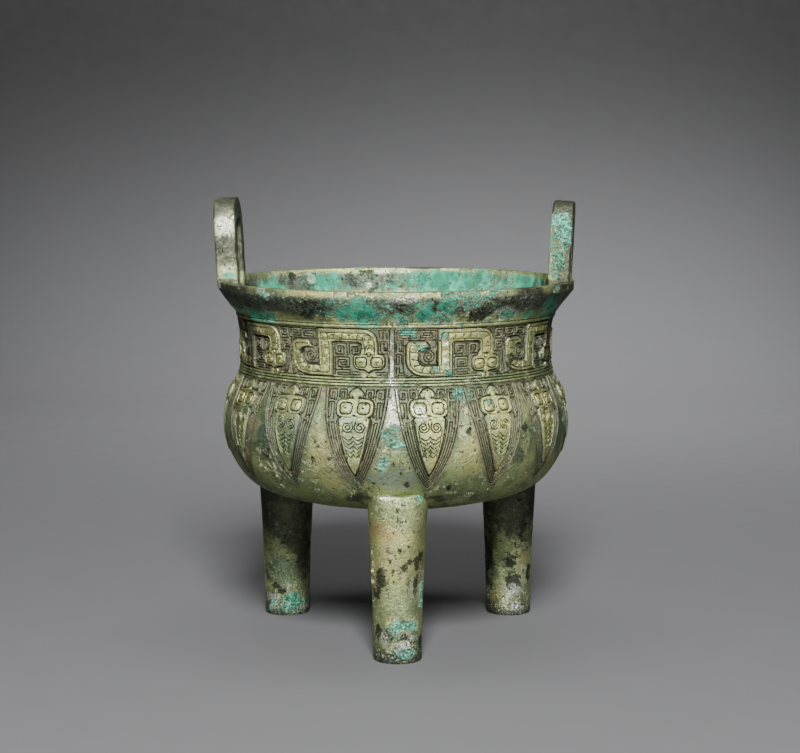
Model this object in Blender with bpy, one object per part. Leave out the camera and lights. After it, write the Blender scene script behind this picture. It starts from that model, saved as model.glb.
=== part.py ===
"""Bronze ding: a round-bellied cauldron on three legs, with two loop handles on its rim.

The whole vessel is one casting. The bowl is turned from one outline with a wall of even thickness, the
legs and the handles run into that wall, and the carving is raised on its outside: nine coiled dragons round
the neck between two border ridges, and fifteen hanging blades with cicadas round the belly.

Metres, +Z up, origin on the ground under the middle of the bowl, front leg towards -Y.
"""
from math import cos, hypot, pi, radians, sin

import bmesh
import bpy
from mathutils import Matrix, Vector

MM = 0.001
MERGE_DISTANCE = 0.01 * MM
SMOOTH_ANGLE = 30.0

# Bowl. The outline is (radius, height) in mm, from the middle of the underside up to the lip.
WALL = 3.3 * MM
LIP_TOP = 164.2 * MM
LIP_RADIUS = 82.5 * MM
LIP_WIDTH = 5.0 * MM
LIP_EDGE = 0.6 * MM
NECK_TOP = 148.6 * MM
NECK_BOTTOM = 124.6 * MM
BORDER_HALF_WIDTH = 1.0 * MM
BORDER_HEIGHT = 0.7 * MM
BOWL_STEPS = 40
UNDERSIDE = [(0.0, 59.9), (32.0, 61.7), (51.0, 65.0), (61.6, 68.2), (68.0, 72.0)]
BELLY = [(72.9, 77.5), (77.9, 87.0), (79.8, 97.5), (78.7, 108.0), (74.9, 117.2)]
NECK = [(71.7, 136.0)]
FLARE = [(75.7, 152.1), (79.8, 157.1), (82.3, 160.7)]
NECK_BOTTOM_RADIUS = 72.2
NECK_TOP_RADIUS = 73.4
# Which points of the plain outline the inside follows, counted from the underside's middle
INSIDE_STATIONS = (0, 2, 4, 6, 7, 8, 10, 11, 12, 14)

# Legs
LEG_ANGLES = [-90.0, 30.0, 150.0]
LEG_CIRCLE = 62.0 * MM
LEGS_OFF_CENTRE = 0.8 * MM
LEG_STEPS = 20
LEG_OUTLINE = [(9.9, 0.0), (10.6, 0.8), (11.4, 32.0), (13.3, 69.5), (12.6, 73.0), (10.8, 74.8)]

# Handles
HANDLE_WIDTH = 42.0 * MM
HANDLE_THICKNESS = 9.6 * MM
HANDLE_BAR = 10.0 * MM
HANDLE_CORNER = 15.0 * MM
HANDLE_FOOT = 150.5 * MM
HANDLE_OUTER_FACE = 80.8 * MM
HANDLE_EDGE = 1.2 * MM
HANDLE_TOPS = {1: 200.2 * MM, -1: 201.8 * MM}
HANDLE_LEANS = {1: 3.0, -1: 3.2}
HANDLE_TWISTS = {1: -6.5, -1: -0.8}
HANDLE_BEND_STEPS = 5
# The ring outside the flare that the handles are trimmed with
COLLAR_FOOT = 134.0 * MM
COLLAR_REACH = 10.0 * MM

# Carving. Places on the wall are (mm across, mm up).
CARVING_TURN = -1.2
SECTIONS = 3
BURIED = -0.8 * MM
DRAGON_PITCH = 38.8
DRAGONS_PER_SECTION = 3
DRAGON_MARGIN = 5.0
DRAGON_HEIGHT = 0.9 * MM
DRAGON_BODY_WIDTH = 4.6
DRAGON_BODY = [(9.0, 139.8), (3.6, 140.0), (2.3, 136.5), (3.6, 132.4), (8.0, 129.6), (16.8, 128.9),
               (17.0, 136.6), (17.0, 144.5), (26.2, 144.6), (35.0, 144.2), (36.8, 140.2), (36.8, 134.6)]
HEAD_CENTRE = 36.8
HEAD_ROWS = [(136.0, 2.6), (134.4, 7.0), (131.0, 8.0), (127.6, 1.4)]
HEAD_HEIGHT = 1.2 * MM
DRAGON_EYE = (3.4, 131.6, 2.6, 2.3)
DRAGON_EYE_SIDES = 6
DRAGON_EYE_HEIGHT = 2.1 * MM
SNOUT = (126.6, 3.0, 1.7)
SNOUT_SIDES = 4
SNOUT_HEIGHT = 0.9 * MM
LEAF_ROUNDNESS = 0.7
BLADE_PITCH = 24.0
BLADES_PER_SECTION = 5
BLADE_TOP, BLADE_TIP, BLADE_HALF_WIDTH = 122.0, 78.6, 13.6
BLADE_RIM_WIDTH = 2.4
BLADE_RIM_HEIGHT = 0.8 * MM
BLADE_STATIONS = [122.0, 117.2, 108.0, 97.5, 87.0]
CICADA_TOP, CICADA_TIP, CICADA_HALF_WIDTH = 119.0, 84.6, 7.4
CICADA_HEIGHT = 0.9 * MM
CICADA_STATIONS = [116.6, 108.0, 97.5, 87.0]
CICADA_EYE = (3.7, 113.0, 3.5, 3.1)
CICADA_EYE_SIDES = 4
CICADA_EYE_HEIGHT = 1.9 * MM
EYE_BEDDING = 0.3 * MM

BRONZE_COLOUR = (0.20, 0.21, 0.12, 1.0)


def bowl_outline():
    """Outside of the bowl as (radius, height) in metres, from the underside's middle to the lip's edge."""
    border = BORDER_HALF_WIDTH / MM
    proud = BORDER_HEIGHT / MM
    outline = list(UNDERSIDE) + list(BELLY)
    for radius, height, stretch in ((NECK_BOTTOM_RADIUS, NECK_BOTTOM / MM, NECK),
                                    (NECK_TOP_RADIUS, NECK_TOP / MM, FLARE)):
        outline += [(radius, height - border), (radius + proud, height), (radius, height + border)]
        outline += stretch
    return [(radius * MM, height * MM) for radius, height in outline]


def plain_outline():
    """The same outline without its border ridges, which the carving and the inside follow."""
    outline = list(UNDERSIDE) + list(BELLY)
    outline += [(NECK_BOTTOM_RADIUS, NECK_BOTTOM / MM)] + NECK + [(NECK_TOP_RADIUS, NECK_TOP / MM)] + FLARE
    return [(radius * MM, height * MM) for radius, height in outline]


def moved_inwards(outline, distance):
    """An outline of (radius, height) moved square to itself, into the wall."""
    moved = []
    last = len(outline) - 1
    for index, (radius, height) in enumerate(outline):
        before = outline[max(index - 1, 0)]
        after = outline[min(index + 1, last)]
        run, rise = after[0] - before[0], after[1] - before[1]
        length = hypot(run, rise)
        inward = 0.0 if index == 0 else -rise / length
        up = 1.0 if index == 0 else run / length
        moved.append((max(radius + inward * distance, 0.0), height + up * distance))
    return moved


def wall_radius(height):
    """Outer radius of the plain wall at a height above the legs' tops."""
    outline = plain_outline()
    for (low_radius, low), (high_radius, high) in zip(outline, outline[1:]):
        if low <= height <= high:
            return low_radius + (high_radius - low_radius) * (height - low) / (high - low)
    raise ValueError("no wall at this height")


def new_object(name, shape, material):
    """Finish a bmesh as an object, with its faces pointing outwards."""
    bmesh.ops.remove_doubles(shape, verts=shape.verts, dist=MERGE_DISTANCE)
    bmesh.ops.recalc_face_normals(shape, faces=shape.faces)
    mesh = bpy.data.meshes.new(name)
    shape.to_mesh(mesh)
    shape.free()
    mesh.materials.append(material)
    piece = bpy.data.objects.new(name, mesh)
    bpy.context.scene.collection.objects.link(piece)
    return piece


def turned(name, outline, steps, material, closed=False):
    """Turn an outline of (radius, height) once round Z into a solid."""
    shape = bmesh.new()
    points = [shape.verts.new((radius, 0.0, height)) for radius, height in outline]
    edges = [shape.edges.new(pair) for pair in zip(points, points[1:])]
    if closed:
        edges.append(shape.edges.new((points[-1], points[0])))
    bmesh.ops.spin(shape, geom=points + edges, cent=(0, 0, 0), axis=(0, 0, 1), angle=2 * pi,
                   steps=steps, use_merge=True)
    return new_object(name, shape, material)


def as_tool(piece):
    """Mark a piece that only cuts or is joined to another, and isn't a part of its own."""
    piece.hide_render = True
    piece.display_type = "WIRE"
    return piece


def combine(piece, other, operation):
    """Join another solid to a piece, or cut the piece with it."""
    modifier = piece.modifiers.new(operation.lower() + "_" + other.name, "BOOLEAN")
    modifier.operation = operation
    modifier.solver = "EXACT"
    modifier.object = other


def on_wall(turn, across, height, proud):
    """A point on the outside of the wall: `turn` degrees round from the front, then `across` mm to the
    right at the wall's own radius, `height` mm up and `proud` metres out of the surface."""
    radius = wall_radius(height * MM)
    angle = radians(turn - 90.0) + across * MM / radius
    return Vector(((radius + proud) * cos(angle), (radius + proud) * sin(angle), height * MM))


def raise_form(shape, turn, rows):
    """Add one closed form to the wall: rows of (across, height, proud) points, each row a cross-section."""
    loops = [[shape.verts.new(on_wall(turn, *point)) for point in row] for row in rows]
    for loop, following in zip(loops, loops[1:]):
        for corner in range(len(loop)):
            beyond = (corner + 1) % len(loop)
            shape.faces.new((loop[corner], loop[beyond], following[beyond], following[corner]))
    shape.faces.new(loops[0])
    shape.faces.new(loops[-1])


def beside(path, distance):
    """A path of (across, height) points moved sideways, with mitred corners."""
    moved = []
    for index, point in enumerate(path):
        here = Vector(point)
        ahead = Vector(path[min(index + 1, len(path) - 1)]) - here
        behind = here - Vector(path[max(index - 1, 0)])
        ahead = ahead if ahead.length else behind
        behind = behind if behind.length else ahead
        first, second = (Vector((-way.y, way.x)).normalized() for way in (behind, ahead))
        mitre = (first + second) / (1.0 + first.dot(second))
        moved.append(tuple(here + mitre * distance))
    return moved


def raise_band(shape, turn, path, width, proud):
    """Add a raised flat band of even width along a path of (across, height) points."""
    sides = zip(beside(path, width / 2), beside(path, -width / 2))
    raise_form(shape, turn, [[(*left, proud), (*right, proud), (*right, BURIED), (*left, BURIED)]
                             for left, right in sides])


def raise_ridge(shape, turn, path, width, proud):
    """Add a sharp ridge along a path of (across, height) points."""
    sides = zip(beside(path, width / 2), path, beside(path, -width / 2))
    raise_form(shape, turn, [[(*left, BURIED), (*peak, proud), (*right, BURIED)]
                             for left, peak, right in sides])


def raise_plate(shape, turn, centre, rows, proud):
    """Add a raised plate given by (height, half width) rows about a centre line."""
    raise_form(shape, turn, [[(centre - half_width, height, proud), (centre, height, proud),
                              (centre + half_width, height, proud), (centre + half_width, height, BURIED),
                              (centre - half_width, height, BURIED)] for height, half_width in rows])


def raise_boss(shape, turn, centre, height, half_width, half_height, sides, base, proud):
    """Add a low pointed boss with an even number of sides."""
    ring = []
    for corner in range(sides):
        angle = 2 * pi * (corner + 0.5) / sides
        place = (centre + half_width * cos(angle), height + half_height * sin(angle), base)
        ring.append(shape.verts.new(on_wall(turn, *place)))
    peak = shape.verts.new(on_wall(turn, centre, height, proud))
    shape.faces.new(ring)
    for corner in range(sides):
        shape.faces.new((ring[corner], ring[(corner + 1) % sides], peak))


def raise_eyes(shape, turn, centre, eye, sides, base, proud):
    """Add the two eyes beside a centre line."""
    offset, height, half_width, half_height = eye
    for side in (-1, 1):
        raise_boss(shape, turn, centre + side * offset, height, half_width, half_height, sides, base, proud)


def leaf_half_width(height, top, tip, half_width):
    """Half the width of a hanging leaf at a height: full at its top and pointed at its tip."""
    share = (top - height) / (top - tip)
    return half_width * max(1.0 - share * share, 0.0) ** LEAF_ROUNDNESS


def dragon_turns():
    """Degrees from the front to each dragon's tail, three in each of the three mould sections."""
    for section in range(SECTIONS):
        for number in range(DRAGONS_PER_SECTION):
            yield CARVING_TURN + section * 360.0 / SECTIONS + DRAGON_MARGIN + number * DRAGON_PITCH


def blade_turns():
    """Degrees from the front to each blade's centre line, five in each mould section."""
    for number in range(SECTIONS * BLADES_PER_SECTION):
        yield CARVING_TURN + (number + 0.5) * BLADE_PITCH


def carved_bodies(material):
    """Dragon bodies, blade rims and cicada bodies, which stand clear of each other."""
    shape = bmesh.new()
    side = [(leaf_half_width(height, BLADE_TOP, BLADE_TIP, BLADE_HALF_WIDTH), height)
            for height in BLADE_STATIONS]
    rim = [(-half_width, height) for half_width, height in side] + [(0.0, BLADE_TIP)] + side[::-1]
    cicada = [(height, leaf_half_width(height, CICADA_TOP, CICADA_TIP, CICADA_HALF_WIDTH))
              for height in CICADA_STATIONS]
    for turn in dragon_turns():
        raise_band(shape, turn, DRAGON_BODY, DRAGON_BODY_WIDTH, DRAGON_HEIGHT)
    for turn in blade_turns():
        raise_ridge(shape, turn, rim, BLADE_RIM_WIDTH, BLADE_RIM_HEIGHT)
        raise_plate(shape, turn, 0.0, cicada, CICADA_HEIGHT)
    bmesh.ops.triangulate(shape, faces=shape.faces)
    return as_tool(new_object("carved_bodies", shape, material))


def carved_heads(material):
    """The dragons' frontal heads, which lie over the ends of their necks."""
    shape = bmesh.new()
    for turn in dragon_turns():
        raise_plate(shape, turn, HEAD_CENTRE, HEAD_ROWS, HEAD_HEIGHT)
    bmesh.ops.triangulate(shape, faces=shape.faces)
    return as_tool(new_object("carved_heads", shape, material))


def carved_eyes(material):
    """Snouts and eyes of the dragons and eyes of the cicadas, which lie over their heads."""
    shape = bmesh.new()
    for turn in dragon_turns():
        raise_boss(shape, turn, HEAD_CENTRE, *SNOUT, SNOUT_SIDES, BURIED, SNOUT_HEIGHT)
        raise_eyes(shape, turn, HEAD_CENTRE, DRAGON_EYE, DRAGON_EYE_SIDES, HEAD_HEIGHT - EYE_BEDDING,
                   DRAGON_EYE_HEIGHT)
    for turn in blade_turns():
        raise_eyes(shape, turn, 0.0, CICADA_EYE, CICADA_EYE_SIDES, CICADA_HEIGHT - EYE_BEDDING,
                   CICADA_EYE_HEIGHT)
    bmesh.ops.triangulate(shape, faces=shape.faces)
    return as_tool(new_object("carved_eyes", shape, material))


def bowl(material):
    """The hollow bowl: its outside, the flat lip and the inside, turned in one go."""
    inside = moved_inwards(plain_outline(), WALL)
    inside = [inside[station] for station in INSIDE_STATIONS]
    lip = [(LIP_RADIUS, LIP_TOP - LIP_EDGE), (LIP_RADIUS - LIP_EDGE, LIP_TOP)]
    lip += [(LIP_RADIUS - LIP_WIDTH, LIP_TOP)]
    return turned("ding_vessel", bowl_outline() + lip + inside[::-1], BOWL_STEPS, material)


def leg(number, angle, hollow, material):
    """One round leg, cut off inside the bowl's wall."""
    outline = [(0.0, 0.0)] + [(radius * MM, height * MM) for radius, height in LEG_OUTLINE]
    outline.append((0.0, LEG_OUTLINE[-1][1] * MM))
    piece = turned("leg_%d" % number, outline, LEG_STEPS, material)
    outwards = Vector((cos(radians(angle)), sin(radians(angle)), 0.0))
    piece.location = outwards * LEG_CIRCLE + Vector((LEGS_OFF_CENTRE, 0.0, 0.0))
    combine(piece, hollow, "DIFFERENCE")
    return as_tool(piece)


def handle(side, collar, material):
    """One upright loop: a bar carried up, over and down, with its feet cut off inside the flare."""
    shape = bmesh.new()
    half_thick, half_bar = HANDLE_THICKNESS / 2, HANDLE_BAR / 2
    middle = HANDLE_WIDTH / 2 - half_bar
    bend = HANDLE_CORNER - half_bar
    section = []
    for x_sign, y_sign in ((1, 1), (-1, 1), (-1, -1), (1, -1)):
        corner = (x_sign * half_thick, -middle + y_sign * half_bar)
        cuts = [(corner[0] - x_sign * HANDLE_EDGE, corner[1]), (corner[0], corner[1] - y_sign * HANDLE_EDGE)]
        section += cuts if x_sign * y_sign < 0 else cuts[::-1]
    face = shape.faces.new([shape.verts.new((x, y, HANDLE_FOOT)) for x, y in section])
    bend_level = HANDLE_TOPS[side] - half_bar - bend
    reach = middle - bend
    steps = [((0, 0, bend_level - HANDLE_FOOT), -reach), ((0, 2 * reach, 0), reach),
             ((0, 0, HANDLE_FOOT - bend_level), None)]
    for move, bend_y in steps:
        grown = bmesh.ops.extrude_face_region(shape, geom=[face])["geom"]
        bmesh.ops.translate(shape, verts=[v for v in grown if isinstance(v, bmesh.types.BMVert)], vec=move)
        face = next(part for part in grown if isinstance(part, bmesh.types.BMFace))
        if bend_y is not None:
            bent = bmesh.ops.spin(shape, geom=[face], cent=(0, bend_y, bend_level), axis=(-1, 0, 0),
                                  angle=pi / 2, steps=HANDLE_BEND_STEPS)["geom_last"]
            face = next(part for part in bent if isinstance(part, bmesh.types.BMFace))
    inside = [part for part in shape.faces if all(len(edge.link_faces) > 2 for edge in part.edges)]
    bmesh.ops.delete(shape, geom=inside, context="FACES_ONLY")
    piece = new_object("handle_%s" % ("right" if side > 0 else "left"), shape, material)
    lean = Matrix.Rotation(radians(side * HANDLE_LEANS[side]), 4, "Y")
    twist = Matrix.Rotation(radians(HANDLE_TWISTS[side]), 4, "Z")
    foot = Matrix.Translation((0.0, 0.0, -LIP_TOP))
    place = Matrix.Translation((side * (HANDLE_OUTER_FACE - half_thick), 0.0, LIP_TOP))
    piece.matrix_world = place @ twist @ lean @ foot
    combine(piece, collar, "DIFFERENCE")
    return as_tool(piece)


def bronze():
    """Old bronze under an olive green patina."""
    material = bpy.data.materials.new("bronze_patina")
    material.use_nodes = True
    shader = material.node_tree.nodes["Principled BSDF"]
    shader.inputs["Base Color"].default_value = BRONZE_COLOUR
    shader.inputs["Roughness"].default_value = 0.55
    shader.inputs["Metallic"].default_value = 0.4
    return material


def build():
    """Model the vessel as one solid."""
    for leftover in list(bpy.data.objects):
        bpy.data.objects.remove(leftover)
    material = bronze()
    vessel = bowl(material)

    middle_of_wall = moved_inwards(plain_outline(), WALL / 2)
    belly_middle = [point for point in middle_of_wall if point[1] < NECK_BOTTOM]
    belly_middle.append((0.0, belly_middle[-1][1]))
    hollow = as_tool(turned("hollow", belly_middle, BOWL_STEPS, material))
    flare_middle = [point for point in moved_inwards(plain_outline(), WALL / 3) if point[1] > COLLAR_FOOT]
    outside = LIP_RADIUS + COLLAR_REACH
    flare_middle += [(outside, flare_middle[-1][1]), (outside, flare_middle[0][1])]
    collar = as_tool(turned("collar", flare_middle, BOWL_STEPS, material, closed=True))

    joined = [carved_bodies(material), carved_heads(material), carved_eyes(material)]
    joined += [leg(number, angle, hollow, material) for number, angle in enumerate(LEG_ANGLES)]
    joined += [handle(side, collar, material) for side in (1, -1)]
    for piece in joined:
        combine(vessel, piece, "UNION")
    vessel.data.shade_smooth()
    vessel.data.set_sharp_from_angle(angle=radians(SMOOTH_ANGLE))


build()
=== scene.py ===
"""Bronze ding: the carved and weathered surface of a three-legged cauldron cast in one piece.

The bowl, legs and handles follow the cast solid. The carving is drawn flat, one mould section at a time, cut
into a sheet of triangles that its strokes raise and sink, and wrapped round the bowl three times. One patina
covers it all: marks on the mesh say where each tone of it lies, and shader noise breaks up their edges.
"""

from math import ceil, cos, hypot, pi, radians, sin

import bmesh
import bpy
import numpy as np
from mathutils import Matrix, Vector, noise
from mathutils.geometry import delaunay_2d_cdt


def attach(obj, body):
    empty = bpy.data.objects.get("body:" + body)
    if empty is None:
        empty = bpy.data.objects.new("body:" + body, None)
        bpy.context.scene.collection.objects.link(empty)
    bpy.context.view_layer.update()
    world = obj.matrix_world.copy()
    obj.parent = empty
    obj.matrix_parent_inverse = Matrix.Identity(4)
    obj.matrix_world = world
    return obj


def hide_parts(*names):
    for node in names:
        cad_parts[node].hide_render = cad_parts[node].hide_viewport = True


bl_info = {
    "name": "Bronze Ding",
    "version": (1, 0, 0),
    "blender": (4, 5, 0),
    "location": "3D View > Sidebar > Ding",
    "description": "Casts a carved bronze ding, lays its patina and sets it on a plain stage",
    "category": "Add Mesh",
}

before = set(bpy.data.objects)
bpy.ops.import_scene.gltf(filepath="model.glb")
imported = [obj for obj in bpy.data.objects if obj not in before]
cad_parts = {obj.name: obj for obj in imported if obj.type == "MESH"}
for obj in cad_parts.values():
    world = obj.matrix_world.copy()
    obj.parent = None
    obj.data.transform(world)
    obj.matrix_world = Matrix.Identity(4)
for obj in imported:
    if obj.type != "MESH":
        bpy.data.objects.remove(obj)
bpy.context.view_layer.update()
MM = 0.001

# Bowl. The outline is (radius, height) in mm, from the middle of the underside up to the lip.
UNDERSIDE = [(0.0, 59.9), (32.0, 61.7), (51.0, 65.0), (61.6, 68.2), (68.0, 72.0)]
BELLY = [(72.9, 77.5), (77.9, 87.0), (79.8, 97.5), (78.7, 108.0), (74.9, 117.2)]
NECK = [(72.2, 124.6), (71.7, 136.0), (73.4, 148.6)]
FLARE = [(75.7, 152.1), (79.8, 157.1), (82.3, 160.7)]
WALL = 3.3
LIP_TOP = 164.2
LIP_RADIUS = 82.5
LIP_WIDTH = 5.0
LIP_EDGE = 0.7
LIP_DEPTH = 5.0
WALL_STEP = 0.5
TURNED_STEP = 2.8

# Legs
LEG_ANGLES = [-90.0, 30.0, 150.0]
LEG_CIRCLE = 62.0
LEGS_OFF_CENTRE = 0.8
LEG_STEPS = 56
LEG_FOOT = [(9.9, 0.0, 0.0), (10.6, 0.0, 0.7)]
LEG_SIDE = [(11.4, 32.0, 60.0), (13.3, 69.5, 9.0)]
LEG_SHOULDER = [(13.2, 74.8, 2.6), (10.8, 74.8, 0.0)]

# Handles. The right one's values are at 1 and the left one's at -1.
HANDLE_WIDTH = 42.0
HANDLE_THICKNESS = 9.6
HANDLE_BAR = 10.0
HANDLE_CORNER = 15.0
HANDLE_FOOT = 150.5
HANDLE_OUTER_FACE = 80.8
HANDLE_EDGE = 1.1
HANDLE_TOPS = {1: 200.2, -1: 201.8}
HANDLE_LEANS = {1: 3.0, -1: 3.2}
HANDLE_TWISTS = {1: -6.5, -1: -0.8}
HANDLE_BEND_STEPS = 10
COLLAR_FOOT = 134.0
COLLAR_REACH = 10.0

# Carved sheet, one of three alike. Flat places are mm round the bowl at FLAT_RADIUS and mm up, turns degrees.
FRONT = -90.0
CARVING_TURN = -1.2
SECTIONS = 3
FLAT_RADIUS = 76.0
SECTION_LENGTH = 2 * pi * FLAT_RADIUS / SECTIONS
SHEET_FOOT, SHEET_TOP = 75.4, 150.8
SHEET_STEPS = 72
SHEET_ROWS = 24
FILL_STEP = 2.6
FILL_ROW = 0.87
FILL_CLEARANCE = 0.7
CLOSEST = 0.04

# Strokes of the carving. A border's ridge is (middle, half its width, height).
CURVE_STEP = 0.7
CURL_STEP = 1.12
CURL_DEPTH = 0.8
STRAIGHT_STEP = 3.0
GROOVE_WIDTH = 0.78
GROOVE_DEPTH = 0.5
KEY_PITCH = 1.25
KEY_ROUNDING = 0.3
FORM_SLOPE = 0.32
CRISP_ANGLE = 50.0
CONTOUR_WIDTH = 0.7
CONTOUR_DEPTH = 0.5
SEAM_STRIP = 1.2
RIDGE_SLOPE = 0.5
BORDER_RIDGES = [(148.7, 1.5, 0.5), (124.6, 2.6, 0.35)]
BORDER_GROOVES = [149.6, 147.8, 126.4, 125.1, 123.9, 122.6]

# How high, in mm, metal may stand and still be dark where its grooves and ground are: grime and painted shade
BORDER_DIRT_AND_SHADE_TOP = 0.4
CONTOUR_DIRT_AND_SHADE_TOP = 0.1
GROUND_TOP, GROUND_BLEND = 0.35, 0.2
GROUND_REACH = 1.1

# Dragons and blades in a section, each blade with a cicada. A leaf is (half its width, top, tip).
DRAGONS = 3
DRAGON_PITCH = 38.8
DRAGON_MARGIN = 5.0
DRAGON_HEIGHT = 0.6
HEAD_LIFTS = (0.0, 0.6, 1.4)
CHIN_LIFT = 0.6
SCALE_DOMES = [(3.1, 139.4), (3.2, 135.8), (3.7, 132.8), (5.6, 130.4), (8.8, 129.8), (12.4, 129.9),
               (16.2, 129.9), (20.0, 144.3), (23.4, 144.3), (26.9, 144.3), (30.4, 144.3), (34.2, 144.0),
               (37.0, 141.2), (37.1, 137.7)]
HEAD_MIDDLE = 36.7
HEAD_HEIGHT = 0.85
BLADES = 5
BLADE_PITCH = 24.0
BLADE = (14.3, 122.0, 78.0)
CICADA = (7.4, 119.0, 84.6)
LEAF_ROUNDNESS = 0.84
LEAF_STEPS = 16
LEAF_SPACING = 1.5
CICADA_HEIGHT = 0.45

# Stage. Places are in mm, and shades and lights' sizes in metres.
FLOOR_HALF, FLOOR_FRONT, FLOOR_BACK, FLOOR_CURVE, WALL_HEIGHT = 3000.0, 2500.0, 1300.0, 500.0, 3000.0
# Painted shade on the paper, up the wall and far to either side
PAPER_SHADE = (0.0, 0.36)
PAPER_SIDE_SHADE = (0.3, 0.8)
AIM = (0.0, 0.0, 100.0)
KEY_PLACE, KEY_SIZE = (25.0, -1230.0, 1080.0), (0.34, 0.5)
FILL_PLACE, FILL_SIZE = (60.0, -1500.0, 430.0), (0.4, 0.3)
TOP_PLACE, TOP_SIZE = (0.0, 110.0, 1200.0), (0.6, 0.3)
WALL_LIGHT_PLACE, WALL_LIGHT_SIZE = (150.0, 800.0, 1100.0), (0.6, 0.6)
WALL_LIGHT_AIM = (100.0, 850.0, 0.0)
WALL_LIGHT_SPREAD = 60.0
WORLD_COLOUR = (0.024, 0.024, 0.026)
CAMERA_PLACE = (1.9, -970.28, 233.8)
CAMERA_DIP = 6.775

# Weathering, in mm: the surface's own swells, pits and risen crust, and heights of wear and painted shade
SWELL_SIZE, PIT_SIZE = 14.0, 2.2
CRUST_RISE = 0.25
FOOT_WEAR = 18.0
# Heights of the painted contact shade at the feet's bottom edge
FOOT_CONTACT_SHADE = (3.4, 1.8)
# Heights of the flare's dark crust, which is patina with painted shade
FLARE_SHADE_FOOT, FLARE_SHADE_EDGE = (151.0, 155.5), (162.8, 160.5)
HOLLOW_TOP, HOLLOW_FADE = 150.0, 10.0

# How patches of patina lie: their soft edges and drift, the areas' bounds, and the turns at which those of
# the bowl's front, as far out as the widest one, come again
PATCH_FADE = 0.85
PATCH_DRIFT, DRIFT_SIZE, DRIFT_SEED = 2.4, 5.0, 8
INSIDE_DEPTH = 1.6
LEG_REACH, LEG_TOP = 15.0, 71.0
HANDLE_POST = (76.0, -16.0)
REPEATS = (0.0, 124.0, 238.0)
WIDEST_REPEAT = 60.0

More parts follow.
